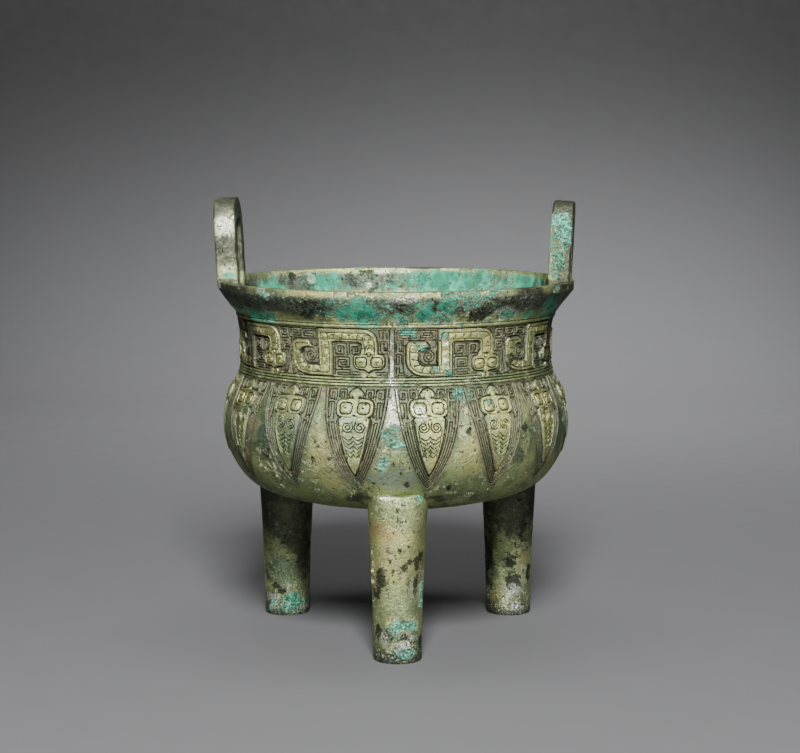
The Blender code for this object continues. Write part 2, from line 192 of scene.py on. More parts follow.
# Patches by the area that they lie on: degrees round the area's upright axis from its front, height, half the
# width and half the height
PATCHES = {
    "verdigris": {
        "bowl": [(-12, 155.5, 11.5, 5.6), (-50, 149.5, 6.5, 2), (-45, 151.5, 5, 1.6), (2, 151.5, 3.5, 3.5),
                 (4.5, 146, 3.8, 2.4), (8, 155.5, 3, 3), (17, 161.5, 5, 2.5), (24, 160, 7, 3.5),
                 (31, 162, 4, 2), (15, 152, 6, 2.4), (23, 149.5, 3, 1.4), (32, 150, 1.8, 1.6),
                 (39, 153, 6.5, 2.6), (9, 140, 2.4, 1.8), (17, 145, 1.5, 1.8), (13, 129.5, 2.2, 1.8),
                 (18, 128, 2.2, 2.2), (60, 162, 3, 1.6), (-44, 162, 3.5, 2), (-2, 103.5, 4, 2.8),
                 (0, 99.5, 2.8, 1.7), (-4, 92, 1.2, 4), (-4, 87, 2.6, 1.6), (22, 118.5, 1.7, 2.6),
                 (26, 119, 1.2, 1.6), (32, 115, 1.3, 1.3), (45, 99, 1.3, 2), (8, 73.5, 3, 1.5)],
        "inside": [(171, 158.5, 4, 1.8), (162, 154, 2.5, 2), (146, 156, 3, 2)],
        "front_leg": [(13, 16.5, 5.5, 3), (34, 17, 4, 2.4), (28, 4, 4, 1.8), (-5, 14, 2, 2),
                      (70, 30, 2.4, 5)],
        "left_leg": [(15, 7.5, 6, 2.5), (15, 3, 6, 2.2), (-35, 4, 3, 2)],
        "right_handle": [(-14, 187, 5, 8.5), (-30, 173, 2.8, 9)],
    },
    "bare_dark": {
        "bowl": [(-28, 156.5, 8.4, 4), (2.5, 157.5, 2.6, 2.8), (11, 158, 1.6, 4), (28, 155, 7, 4.6),
                 (41, 159.5, 11, 2.6), (10, 138.5, 2, 1.6), (-34, 137.5, 1.6, 1.6), (45, 133, 1.6, 3),
                 (46, 102, 2, 2.6), (-27, 90, 1.1, 2), (-21, 90, 1.1, 2), (-5, 87, 1.8, 1.2),
                 (4, 81, 1, 1.4), (18, 79.5, 1.6, 1.2), (-46, 92, 2.5, 3), (-10, 79, 2.4, 1.6),
                 (23.5, 103, 1, 2), (10, 74, 2, 1.6)],
        "inside": [(183, 156, 2.2, 4), (190, 154, 4, 2), (197, 158, 3, 4), (214, 156, 5, 2.5),
                   (191, 161, 3, 2.6), (222, 160, 3, 4), (-15, 156, 8, 4), (92, 158, 6, 5),
                   (-82, 159, 7, 4)],
        "front_leg": [(-35, 40, 2.8, 2.4), (-42, 36, 2.4, 3.6), (-52, 31, 2, 3.6), (-55, 52, 1.8, 1.5),
                      (45, 44, 2, 2.5), (55, 48, 2, 3), (43, 36, 1.8, 4), (2, 64, 1.1, 1.8), (5, 52, 1, 1.5),
                      (12, 43, 2, 2), (30, 45, 1.8, 1.8), (-20, 35, 1, 1), (30, 11, 5, 1.6),
                      (-50, 13, 2.4, 3), (5, 7, 3, 1.1), (62, 9, 3, 3), (-22, 12, 2.4, 3),
                      (15, 11.5, 4, 1.4), (0, 3, 5, 1.4)],
        "left_leg": [(-8, 11, 3, 1.5), (-35, 15, 3, 2)],
        "right_leg": [(45, 4.5, 3, 2), (5, 27, 3, 3.5), (15, 17, 4, 4), (60, 20, 3, 4)],
    },
    "whitened_and_highlight": {
        # On the bowl, the narrow patches along the mould seam, the white streaks at 17.5 degrees and those on
        # the belly's middle are painted highlights.
        "bowl": [(-0.5, 115, 3, 7), (-1, 107, 4.4, 3), (7.5, 112.5, 3, 3), (-1.5, 131, 1.3, 14),
                 (-1.5, 125, 1.8, 4), (17.5, 133, 1.2, 4), (17.5, 140.5, 1.2, 2), (15, 150.5, 7, 1.2),
                 (3, 161, 7, 2), (39, 153, 8, 3), (-45, 162, 4, 1.6), (24, 159.5, 7, 3), (-4, 74, 4, 1.4),
                 (69, 127, 2, 1.6), (66, 133, 1.6, 2.6)],
        "inside": [(176, 162, 8, 2), (185, 162.5, 5, 1.6), (213, 160, 2.4, 3), (190, 157, 3, 1.5)],
        "front_leg": [(12, 7.5, 6, 2.6), (-33, 11, 2, 3), (40, 13, 3, 1.6)],
        "left_leg": [(-45, 8.5, 4, 2.2), (-45, 26.5, 2.5, 1.8), (5, 14.5, 2, 2), (-28, 9, 3, 1.8),
                     (45, 3, 4, 2)],
        "right_leg": [(20, 4, 4, 1.4), (-15, 7, 3, 2.4), (38, 23.5, 1.6, 2), (12, 14, 3, 2.6)],
        # On the left handle's front these patches are partly painted highlight.
        "left_handle": [(0, 190, 8, 8), (0, 170, 5, 3)],
        "right_handle": [(22, 192, 2.4, 3.4), (-10, 178, 2.6, 1.6)],
    },
    "golden_and_highlight": {
        # On the bowl, the patches at 24 and 25 degrees on the belly are a painted highlight.
        "bowl": [(-36, 152, 5, 2), (-22, 151.5, 8, 1.6), (-26, 162.8, 13, 1.8), (24, 94, 5, 10),
                 (25, 87, 6, 4), (12, 91, 3, 4), (12, 104, 4, 6), (21, 145, 4, 2), (33, 140, 2, 4),
                 (33, 132, 4, 4), (37, 117, 3, 3), (37, 108, 4.5, 8), (58, 104, 4.5, 8), (55, 97, 4, 4),
                 (-22, 81, 7, 3), (-25, 95, 5, 11), (54, 162, 3, 1.6), (-9, 128, 3, 3), (36, 86, 6, 5)],
        "inside": [(202, 163, 5, 2), (215, 153, 9, 1.6)],
        "front_leg": [(0, 46, 30, 16)],
        "right_leg": [(45, 28, 4, 5), (-30, 8, 4, 4), (30, 26, 3, 4)],
        "left_handle": [(0, 199, 5, 3)],
    },
    "grey_green": {
        "bowl": [(-36, 101, 5, 6), (-13, 103, 5, 5), (-47, 96, 4.5, 8), (-66, 100, 8, 14), (-58, 112, 5, 6),
                 (68, 98, 7, 12), (62, 136, 9, 9), (44, 90, 3, 4)],
        "left_leg": [(-10, 22, 9, 8)],
    },
    "wash": {
        "bowl": [(-56, 151.5, 10, 2.6), (-13, 155, 11, 5), (8, 155.5, 4, 4), (16, 158, 3.4, 3),
                 (62, 155, 7, 3), (50, 152, 4, 2)],
        "inside": [(160, 158, 28, 8), (207, 158, 9, 5), (128, 158, 14, 7), (232, 157, 7, 5), (25, 157, 16, 6),
                   (-50, 156, 12, 7), (70, 158, 8, 6)],
        "left_handle": [(0, 165.5, 5, 2)],
    },
    "ochre": {
        "front_leg": [(-45, 60, 6, 4), (-15, 58, 4, 3), (-10, 19, 2, 1.6)],
    },
    "slate_and_shade": {
        # On the bowl, the slate on the band's far flanks, at -65 and 74 degrees, and low on the belly just
        # above the legs is painted shade.
        "bowl": [(48, 160, 10, 3), (46, 163, 9, 3.4), (70, 162.5, 17, 5), (-64, 162.5, 17, 4),
                 (-14, 73, 6, 2), (15, 73, 6, 2), (-65, 137, 9, 12), (74, 138, 7, 13)],
        "inside": [(0, 160, 12, 5), (255, 158, 10, 6), (48, 161, 10, 3)],
        # The slate over the back legs' upper parts is painted shadow of the bowl.
        "left_leg": [(0, 53, 34, 14), (20, 40, 8, 8), (50, 30, 6, 14)],
        "right_leg": [(0, 55, 34, 14), (-62, 32, 5, 20), (20, 43, 6, 5)],
        # On the handles, the slate on the left one's inner side and on the right one's outer side and top is
        # painted shade.
        "left_handle": [(0, 178.5, 20, 6.5), (-84, 184, 3.4, 24), (180, 182, 9, 34)],
        "right_handle": [(55, 182, 5.5, 26), (0, 200, 60, 7.5), (28, 172, 4.5, 9), (180, 182, 9, 34)],
    },
    "mist": {
        "bowl": [(0, 82, 9, 5), (-13, 102, 5, 6), (-33, 103, 4, 6), (-47, 98, 4, 6), (-15, 110, 5, 4)],
        "front_leg": [(66, 33, 2.4, 9)],
        "right_leg": [(15, 14, 5, 5)],
    },
}


# --- Flat paths -------------------------------------------------------------------------------------------

def smooth(points, step):
    """A smooth curve through given points, as a close list of points."""
    points = [Vector(point) for point in points]
    padded = [2 * points[0] - points[1]] + points + [2 * points[-1] - points[-2]]
    curve = []
    for p0, p1, p2, p3 in zip(padded, padded[1:], padded[2:], padded[3:]):
        k1, k2, k3 = ((b - a).length ** 0.5 for a, b in ((p0, p1), (p1, p2), (p2, p3)))
        leaving = ((p1 - p0) / k1 - (p2 - p0) / (k1 + k2) + (p2 - p1) / k2) * k2
        arriving = ((p2 - p1) / k2 - (p3 - p1) / (k2 + k3) + (p3 - p2) / k3) * k2
        count = max(1, ceil((p2 - p1).length / step))
        for number in range(count):
            t = number / count
            curve.append(p1 * (2 * t ** 3 - 3 * t * t + 1) + leaving * (t ** 3 - 2 * t * t + t)
                         + p2 * (3 * t * t - 2 * t ** 3) + arriving * (t ** 3 - t * t))
    return [tuple(point) for point in curve + [points[-1]]]


def rounded(corners, closed=False):
    """A path of straight runs through corners (x, y) or (x, y, radius), with the corners rounded off."""
    path = []
    last = len(corners) - 1
    for index, (x, y, *radius) in enumerate(corners):
        here = Vector((x, y))
        if not radius or not radius[0] or (not closed and index in (0, last)):
            path.append(here)
            continue
        back = Vector(corners[index - 1][:2]) - here
        ahead = Vector(corners[(index + 1) % len(corners)][:2]) - here
        facing = back.normalized().dot(ahead.normalized())
        reach = radius[0] * (1 + facing) ** 0.5 / (1 - facing) ** 0.5
        start = here + back.normalized() * min(reach, back.length * 0.5)
        end = here + ahead.normalized() * min(reach, ahead.length * 0.5)
        count = max(2, ceil((end - start).length / CURVE_STEP))
        for number in range(count + 1):
            t = number / count
            path.append(start * (1 - t) ** 2 + here * 2 * t * (1 - t) + end * t * t)
    return [tuple(point) for point in path + (path[:1] if closed else [])]


def divided(path, step):
    """A path with its long runs divided."""
    close = [tuple(path[0])]
    for start, end in zip(path, path[1:]):
        start, end = Vector(start), Vector(end)
        count = max(1, ceil((end - start).length / step - 0.01))
        close += [tuple(start.lerp(end, (number + 1) / count)) for number in range(count)]
    return close


def beside(path, distance):
    """A path moved sideways to its left, with mitred corners. One that ends where it starts stays closed."""
    closed = (Vector(path[0]) - Vector(path[-1])).length < CLOSEST
    points = [Vector(point) for point in path]
    moved = []
    for index, here in enumerate(points):
        if closed and index in (0, len(points) - 1):
            behind, ahead = here - points[-2], points[1] - here
        else:
            behind = here - points[max(index - 1, 0)]
            ahead = points[min(index + 1, len(points) - 1)] - here
        behind, ahead = behind if behind.length else ahead, ahead if ahead.length else behind
        first, second = (Vector((-way.y, way.x)).normalized() for way in (behind, ahead))
        mitre = (first + second) / max(1.0 + first.dot(second), 0.4)
        moved.append(tuple(here + mitre * distance))
    return moved


def key(left, right, low, high, side):
    """A square spiral that winds inwards, filling a cell; side -1 turns it over left to right."""
    middle, half = (left + right) / 2, (right - left) / 2
    step_x = 2 * half / max(1, round(2 * half / KEY_PITCH))
    step_y = (high - low) / max(1, round((high - low) / KEY_PITCH))
    sides = [-half, high, half, low]
    inwards = [step_x, -step_y, -step_x, step_y]
    path = [(-half, low)]
    run = 0
    while min(sides[2] - sides[0], sides[1] - sides[3]) > -CLOSEST / 4:
        here, ahead = run % 4, (run + 1) % 4
        path.append((sides[ahead], sides[here]) if run % 2 else (sides[here], sides[ahead]))
        sides[here] += inwards[here]
        run += 1
    return rounded([(middle + side * x, y, KEY_ROUNDING) for x, y in path])


def curl(x, y, radius, turns, start, side):
    """A round spiral that winds inwards to a centre, from a start angle in degrees."""
    count = ceil(2 * pi * radius * turns / CURL_STEP)
    path = []
    for number in range(count + 1):
        share = number / count
        angle = radians(start) + 2 * pi * turns * share
        reach = radius * (1 - CURL_DEPTH * share)
        path.append((x + side * reach * cos(angle), y + reach * sin(angle)))
    return path


def ring(x, y, half_width, half_height, radius):
    """A closed ring with rounded corners."""
    corners = [(x - half_width, y - half_height, radius), (x + half_width, y - half_height, radius),
               (x + half_width, y + half_height, radius), (x - half_width, y + half_height, radius)]
    return rounded(corners, closed=True)


def leaf_half_width(height, leaf):
    """Half the width of a hanging leaf at a height: full at its top and pointed at its tip."""
    half_width, top, tip = leaf
    share = min(max((top - height) / (top - tip), 0.0), 1.0)
    return half_width * (1.0 - share * share) ** LEAF_ROUNDNESS


def leaf_edge(leaf, top):
    """A leaf's edge from a height on its left down to the tip and up again, with close points at the tip."""
    tip = leaf[2]
    shares = [(1 - number / LEAF_STEPS) ** LEAF_SPACING for number in range(LEAF_STEPS + 1)]
    heights = [tip + (top - tip) * share for share in shares]
    right = [(leaf_half_width(height, leaf), height) for height in heights]
    return [(-x, height) for x, height in right] + right[-2::-1]


def leaf_between(share):
    """A leaf line between the blade's outer edge, at 0, and the cicada's, at 1."""
    return tuple(outer + (inner - outer) * share for outer, inner in zip(BLADE, CICADA))


# --- The wall ---------------------------------------------------------------------------------------------

def wall_curve():
    """The bowl's smooth outside, an array of (radius, height) from the middle of the underside to the lip."""
    mirrored = (-UNDERSIDE[1][0], UNDERSIDE[1][1])
    curve = smooth([mirrored] + UNDERSIDE + BELLY + NECK + FLARE, WALL_STEP)
    return np.array([point for point in curve if point[0] >= 0.0])


WALL_CURVE = wall_curve()


def wall_radius(height):
    """Outer radius of the plain wall at a height."""
    return np.interp(height, WALL_CURVE[:, 1], WALL_CURVE[:, 0])


def wall_point(angle, height, proud):
    """Points on the wall, moved out of it: angles in radians, heights and proud in mm."""
    lean = (wall_radius(height + WALL_STEP) - wall_radius(height - WALL_STEP)) / (2 * WALL_STEP)
    square = np.sqrt(1 + lean * lean)
    radius = wall_radius(height) + proud / square
    return np.stack([radius * np.cos(angle), radius * np.sin(angle), height - proud * lean / square], axis=-1)


# --- Carving ----------------------------------------------------------------------------------------------

def distance_to(points, path):
    """Shortest distance from each point to a path."""
    start, run = path[:-1], path[1:] - path[:-1]
    span = points[:, None] - start
    share = np.clip((span * run).sum(2) / np.maximum((run * run).sum(1), 1e-9), 0, 1)
    gap = span - share[..., None] * run
    return np.sqrt((gap * gap).sum(2)).min(1)


def is_inside(points, outline):
    """Which points lie inside a closed outline."""
    start, end = outline[:-1], outline[1:]
    x, y = points[:, :1], points[:, 1:]
    crosses = (start[:, 1] > y) != (end[:, 1] > y)
    rise = np.where(end[:, 1] == start[:, 1], 1.0, end[:, 1] - start[:, 1])
    meets = start[:, 0] + (y - start[:, 1]) * (end[:, 0] - start[:, 0]) / rise
    return (crosses & (x < meets)).sum(1) % 2 == 1


def finder(points):
    """A function that picks out the flat points within reach of a path."""
    order = np.argsort(points[:, 0])
    along = points[order, 0]

    def close_by(path, reach):
        low, high = path.min(0) - reach, path.max(0) + reach
        some = order[np.searchsorted(along, low[0]):np.searchsorted(along, high[0])]
        return some[(points[some, 1] > low[1]) & (points[some, 1] < high[1])]

    return close_by


class Carving:
    """One mould section's strokes. Each is drawn in mm from a turn, in degrees from the section's left seam:
    x round the bowl at the wall's own radius, y up."""

    def __init__(self):
        self.lines = []
        self.contours = []
        self.grooves = []
        self.plates = []
        self.bosses = []

    @staticmethod
    def place(turn, path):
        """A drawn path's flat place in the section."""
        path = np.array(divided(path, STRAIGHT_STEP))
        x = radians(turn) * FLAT_RADIUS + path[:, 0] * FLAT_RADIUS / wall_radius(path[:, 1])
        return np.stack([x, path[:, 1]], axis=1)

    def groove(self, turn, path, width=GROOVE_WIDTH, depth=GROOVE_DEPTH):
        """Sink a V along a path."""
        self.sink(self.place(turn, path), width, depth)

    def sink(self, path, width, depth, strokes=None):
        """Sink a V along a path that is already in its place."""
        (self.grooves if strokes is None else strokes).append((path, width / 2, depth))
        self.lines += [np.array(beside(path, offset)) for offset in (-width / 2, 0.0, width / 2)]

    def plate(self, turn, outline, height, slope=FORM_SLOPE, outlined=True):
        """Raise a closed outline to a height, with sloping sides and a thin groove round its foot."""
        outline = self.place(turn, outline)
        x, y = outline.T
        if (x[:-1] * y[1:] - x[1:] * y[:-1]).sum() < 0:
            outline = outline[::-1]
        self.plates.append((outline, height, slope))
        self.lines += [outline, np.array(beside(outline, slope))]
        if outlined:
            foot = np.array(beside(outline, -CONTOUR_WIDTH / 2))
            self.sink(foot, CONTOUR_WIDTH, CONTOUR_DEPTH, self.contours)

    def boss(self, turn, x, y, half_width, half_height, height):
        """Raise a round dome."""
        self.bosses.append((self.place(turn, [(x, y), (x, y)])[0], half_width, half_height, height))
        for share in (1.0, 0.6):
            oval = [(x + share * half_width * cos(angle), y + share * half_height * sin(angle))
                    for angle in np.linspace(0, 2 * pi, 11)]
            self.lines.append(self.place(turn, oval))
        self.lines.append(self.place(turn, [(x, y), (x + 0.3 * half_width, y)]))

    def heights(self, points):
        """How far each flat point stands out of the wall, and how deep it lies in a groove, in mm."""
        close_by = finder(points)
        ridges, borders = np.zeros(len(points)), np.zeros(len(points))
        for middle, width, amount in BORDER_RIDGES:
            share = (width - abs(points[:, 1] - middle)) / RIDGE_SLOPE
            ridges = np.maximum(ridges, amount * np.clip(share, 0, 1))
        for middle in BORDER_GROOVES:
            share = 1 - abs(points[:, 1] - middle) / (GROOVE_WIDTH / 2)
            borders = np.maximum(borders, GROOVE_DEPTH * share)
        contours = self.depths(points, self.contours, close_by)
        grooves = self.depths(points, self.grooves, close_by)
        height = ridges - borders - contours
        for outline, amount, slope in self.plates:
            near = close_by(outline, 0)
            near = near[is_inside(points[near], outline)]
            rise = np.clip(distance_to(points[near], outline) / slope, 0, 1)
            height[near] = np.maximum(height[near], amount * np.sin(rise * pi / 2))
        for centre, half_width, half_height, amount in self.bosses:
            near = close_by(centre[None], max(half_width, half_height) + 0.1)
            away = (((points[near] - centre) / (half_width, half_height)) ** 2).sum(1)
            height[near] += amount * np.sqrt(np.clip(1 - away, 0, 1))
        # The grooves' darkness: grime and painted shade
        dark = np.maximum(grooves, np.where(height < BORDER_DIRT_AND_SHADE_TOP, borders, 0.0))
        dark = np.maximum(dark, np.where(height < CONTOUR_DIRT_AND_SHADE_TOP, contours, 0.0))
        return height - grooves, dark

    def ground(self, points, heights):
        """How far each flat point belongs to the grooved ground: 1 on it, 0 on plain or raised metal."""
        close_by = finder(points)
        share = np.zeros(len(points))
        for path, half_width, _ in self.grooves + self.contours:
            near = close_by(path, half_width + 1.5 * GROUND_REACH)
            reach = (distance_to(points[near], path) - half_width) / GROUND_REACH
            share[near] = np.maximum(share[near], np.clip(1.5 - reach, 0, 1))
        share = np.maximum(share, (points[:, 1] > BORDER_GROOVES[-1]) & (points[:, 1] < BORDER_GROOVES[0]))
        return share * np.clip((GROUND_TOP - heights) / GROUND_BLEND, 0, 1)

    @staticmethod
    def depths(points, grooves, close_by):
        """How deep the grooves cut at each flat point."""
        cut = np.zeros(len(points))
        for path, half_width, depth in grooves:
            near = close_by(path, half_width)
            share = 1 - distance_to(points[near], path) / half_width
            cut[near] = np.maximum(cut[near], depth * np.clip(share, 0, 1))
        return cut

    def sheet(self):
        """The section's triangles: flat points, corners of each triangle, heights and depths of groove."""
        lines = list(self.lines)
        for middle in BORDER_GROOVES:
            for offset in (-GROOVE_WIDTH / 2, 0.0, GROOVE_WIDTH / 2):
                lines.append(self.across(middle + offset))
        for middle, width, _ in BORDER_RIDGES:
            for offset in (-width, RIDGE_SLOPE - width, width - RIDGE_SLOPE, width):
                lines.append(self.across(middle + offset))
        across = np.linspace(0, SECTION_LENGTH, SHEET_STEPS + 1)
        up = np.linspace(SHEET_FOOT, SHEET_TOP, SHEET_ROWS + 1)
        lines += [np.stack([across, np.full_like(across, level)], 1) for level in (SHEET_FOOT, SHEET_TOP)]
        lines += [np.stack([np.full_like(up, side), up], 1) for side in (0.0, SECTION_LENGTH)]
        corners, edges = [], []
        for line in lines:
            line = np.clip(line, (0.0, SHEET_FOOT), (SECTION_LENGTH, SHEET_TOP))
            first = len(corners)
            corners += [Vector(point) for point in line]
            edges += [(first + number, first + number + 1) for number in range(len(line) - 1)]
        corners += [Vector(point) for point in self.fill(lines)]
        points, _, faces, *_ = delaunay_2d_cdt(corners, edges, [], 0, CLOSEST, False)
        points = np.array([tuple(point) for point in points])
        return points, faces, *self.heights(points)

    @staticmethod
    def across(level):
        """A level line from seam to seam."""
        return np.array(divided([(0.0, level), (SECTION_LENGTH, level)], STRAIGHT_STEP))

    @staticmethod
    def fill(lines):
        """Points that keep the plain metal's triangles small, clear of every line."""
        rows = np.arange(SHEET_FOOT + FILL_STEP, SHEET_TOP - FILL_CLEARANCE, FILL_STEP * FILL_ROW)
        across = np.arange(FILL_STEP, SECTION_LENGTH - FILL_CLEARANCE, FILL_STEP)
        points = np.array([(x - (row % 2) * FILL_STEP / 2, y) for row, y in enumerate(rows) for x in across])
        clear = np.ones(len(points), bool)
        for line in lines:
            low, high = line.min(0) - FILL_CLEARANCE, line.max(0) + FILL_CLEARANCE
            near = np.flatnonzero(clear & (points > low).all(1) & (points < high).all(1))
            clear[near] = distance_to(points[near], line) > FILL_CLEARANCE
        return points[clear]


def carve_dragon(carving, turn, lift):
    """A coiled dragon: tail and hook, scaled body, and a head seen from the front, lifted by some mm."""
    body = [(-0.1, 141.9, 2.5), (8.6, 141.9, 2.0), (10.4, 139.0, 0.3), (7.2, 139.3, 1.2), (4.9, 138.2, 1.2),
            (4.9, 131.1, 4.0), (13.9, 131.1, 0.3), (13.9, 147.2, 0.3), (40.6, 147.2, 6.5), (40.6, 134.0),
            (34.0, 134.0), (34.0, 142.0, 2.2), (20.2, 142.0, 1.2), (20.2, 126.9, 0.3), (-0.1, 126.9, 11.0)]
    carving.plate(turn, rounded(body, closed=True), DRAGON_HEIGHT)
    lining = [[(8.4, 140.5), (1.3, 140.5, 1.6), (1.3, 128.2, 9.6), (18.9, 128.2, 0.6), (18.9, 141.6)],
              [(15.2, 131.8), (15.2, 145.8, 0.6), (39.3, 145.8, 5.2), (39.3, 136.2)],
              [(34.9, 137.2), (34.9, 142.9, 2.6), (20.6, 142.9)]]
    scales = [[(1.6, 137.6), (4.6, 137.2)], [(1.9, 134.5), (4.8, 133.9)], [(3.4, 131.3), (5.8, 132.1)],
              [(6.6, 129.0), (7.6, 131.0)], [(10.4, 128.6), (10.6, 131.0)], [(14.4, 128.6), (14.4, 131.2)],
              [(18.4, 145.4), (18.2, 142.3)], [(21.6, 145.4), (21.4, 143.3)], [(25.3, 145.4), (25.0, 143.3)],
              [(28.7, 145.4), (28.4, 143.3)], [(32.5, 145.3), (31.9, 143.3)], [(34.4, 136.4), (39.0, 136.4)]]
    if lift == HEAD_LIFTS[-1]:
        arc = np.linspace(-0.3, pi + 0.3, 9)
        scales += [[(x + reach * cos(angle), y + reach * sin(angle)) for angle in arc]
                   for x, y in ((36.2, 143.2), (37.2, 138.7))
                   for reach in (1.9, 1.0)]
    else:
        scales += [[(35.2, 142.3), (37.9, 143.8)], [(35.3, 139.2), (39.0, 139.2)]]
    for path in lining + scales:
        carving.groove(turn, rounded(path), 0.6, 0.45)
    for x, y in SCALE_DOMES:
        carving.boss(turn, x, y, 1.4, 1.1, 0.16)
    for height in (143.7, 139.9, 136.5, 133.1):
        carving.boss(turn, 17.05, height, 1.45, 1.4, 0.4)
    carve_head(carving, turn, lift)


def carve_head(carving, turn, lift):
    """A dragon's head from the front: brow, chin curls, bead and eyes, lifted by some mm."""
    head = [(30.0, 134.8, 2.6), (30.0, 128.8, 3.0), (34.8, 128.6, 1.5), (36.7, 127.3, 0.3),
            (38.6, 128.6, 1.5), (43.5, 128.8, 3.0), (43.5, 134.8, 2.6), (40.4, 135.1, 0.8),
            (39.7, 137.2), (33.7, 137.2), (33.0, 135.1, 0.8)]
    head = [(x, y + lift, *corner) for x, y, *corner in head]
    carving.plate(turn, rounded(head, closed=True), HEAD_HEIGHT)
    for side in (-1, 1):
        chin = [(0.15, 127.0), (1.5, 128.0, 0.4), (3.4, 127.7, 0.8), (3.3, 125.5, 1.1), (1.1, 125.4, 0.8),
                (0.15, 127.0)]
        spread = side * (0.6 + 0.3 * lift)
        chin = [(HEAD_MIDDLE + spread * x, y + lift * CHIN_LIFT, *corner) for x, y, *corner in chin]
        carving.plate(turn, rounded(chin), DRAGON_HEIGHT, outlined=False)
    carving.boss(turn, HEAD_MIDDLE, 135.0 + lift, 0.8, 0.8, 0.4)
    carving.groove(turn, ring(HEAD_MIDDLE, 135.0 + lift, 0.9, 0.9, 0.8), 0.5, 0.4)
    for side in (-1, 1):
        x, y = HEAD_MIDDLE + side * 3.4, 131.7 + lift
        carving.boss(turn, x, y, 2.2, 1.8, 0.35)
        carving.groove(turn, ring(x, y, 2.5, 2.15, 1.7), 0.75, 0.6)
        carving.groove(turn, [(x - 0.8, y), (x + 0.8, y)], 0.7, 0.5)


def carve_band_ground(carving, turn, lift, first, last):
    """The thunder pattern round one dragon."""
    left = -4.2 if first else -1.9
    right = 45.0 if last else 46.6
    cells = [(left, 4.4, 143.5, 146.9, 1), (5.9, 12.7, 143.5, 146.9, -1),
             (21.4, 26.9, 136.2, 141.0, -1), (28.1, 33.0, 136.2, 141.0, 1),
             (21.4, 27.9, 130.6, 135.0, 1), (21.4, 28.6, 127.3, 129.5, 1),
             (41.9, right, 143.3, 146.9, -1), (41.9, right, 138.0, 142.0, 1)]
    if first:
        cells += [(-4.4, -2.1, 137.7, 142.0, 1), (-4.4, -2.1, 132.2, 136.5, -1)]
        carving.groove(turn, rounded([(-4.3, 131.0), (-4.3, 127.3), (0.3, 127.3)]))
        carving.groove(turn, rounded([(-3.1, 130.2), (-3.1, 128.4), (-1.6, 128.4)]))
    for cell_left, cell_right, low, high, side in cells:
        carving.groove(turn, key(cell_left, cell_right, low, high, side))
    for level, reach in ((136.6, 41.5), (127.1, 43.0)):
        carving.groove(turn, [(reach, level), (44.8, level)])
    carving.groove(turn, rounded([(45.2, 136.4), (45.2, 128.3, 0.5), (44.0, 127.2)]))
    for side in (-1, 1):
        for level in np.arange(127.5, 128.1 + lift, KEY_PITCH):
            carving.groove(turn, [(HEAD_MIDDLE + side * 4.3, level), (HEAD_MIDDLE + side * 7.4, level)])
    carving.groove(turn, rounded([(-1.5, 142.4), (-1.5, 125.9, 12.2), (2.5, 127.3)]))
    carving.groove(turn, rounded([(left, 142.6), (12.9, 142.6), (12.9, 139.5, 0.5), (11.4, 139.5)]))
    carving.groove(turn, rounded([(5.9, 137.4), (5.9, 132.0, 3.6), (13.1, 132.0), (13.1, 138.2)]))
    carving.groove(turn, curl(9.5, 135.3, 2.8, 1.9, 120.0, -1))
    if not last:
        carving.groove(turn, [(47.8, 146.8), (47.8, 128.0)])
        carving.groove(turn, rounded([(46.5, 136.8), (46.5, 128.2, 0.5), (47.0, 127.0)]))


def carve_blade(carving, turn):
    """A hanging blade: its nested rims, the thunder pattern in its shoulders and the cicada on it."""
    for share, top in ((0.03, 121.8), (0.22, 121.8), (0.42, 107.6), (0.62, 107.6), (0.82, 108.4)):
        carving.groove(turn, leaf_edge(leaf_between(share), top))
    panel = [(-5.4, 110.2)] + leaf_edge(CICADA, 109.0) + [(5.4, 110.2), (-5.4, 110.2)]
    carving.plate(turn, panel, CICADA_HEIGHT)
    head = [(-8.2, 116.9, 3.2), (-8.2, 109.8, 3.3), (-1.2, 109.5, 1.2), (0.0, 110.8, 0.2), (1.2, 109.5, 1.2),
            (8.2, 109.8, 3.3), (8.2, 116.9, 3.2), (1.6, 117.4, 1.4), (-1.6, 117.4, 1.4)]
    carving.plate(turn, rounded(head, closed=True), HEAD_HEIGHT)
    crest = [(0.0, 121.9, 0.5), (2.0, 120.9, 0.8), (3.2, 119.6, 1.0), (2.9, 117.9, 0.7), (1.7, 118.1, 0.5),
             (1.5, 119.0, 0.3), (1.1, 116.6), (-1.1, 116.6), (-1.5, 119.0, 0.3), (-1.7, 118.1, 0.5),
             (-2.9, 117.9, 0.7), (-3.2, 119.6, 1.0), (-2.0, 120.9, 0.8)]
    carving.plate(turn, rounded(crest, closed=True), CICADA_HEIGHT, 0.4)
    for side in (-1, 1):
        carve_blade_side(carving, turn, side)
    for number in range(5):
        level = 100.6 - 1.9 * number
        reach = leaf_half_width(level, CICADA) - 1.3
        half = [(1.0, 0.8), (0.55, -0.5), (0.15, 0.2)]
        wave = [(-reach * x, level + y) for x, y in half] + [(0, level + 1)]
        wave += [(reach * x, level + y) for x, y in half[::-1]]
        carving.groove(turn, smooth(wave, CURVE_STEP), 0.65, 0.5)


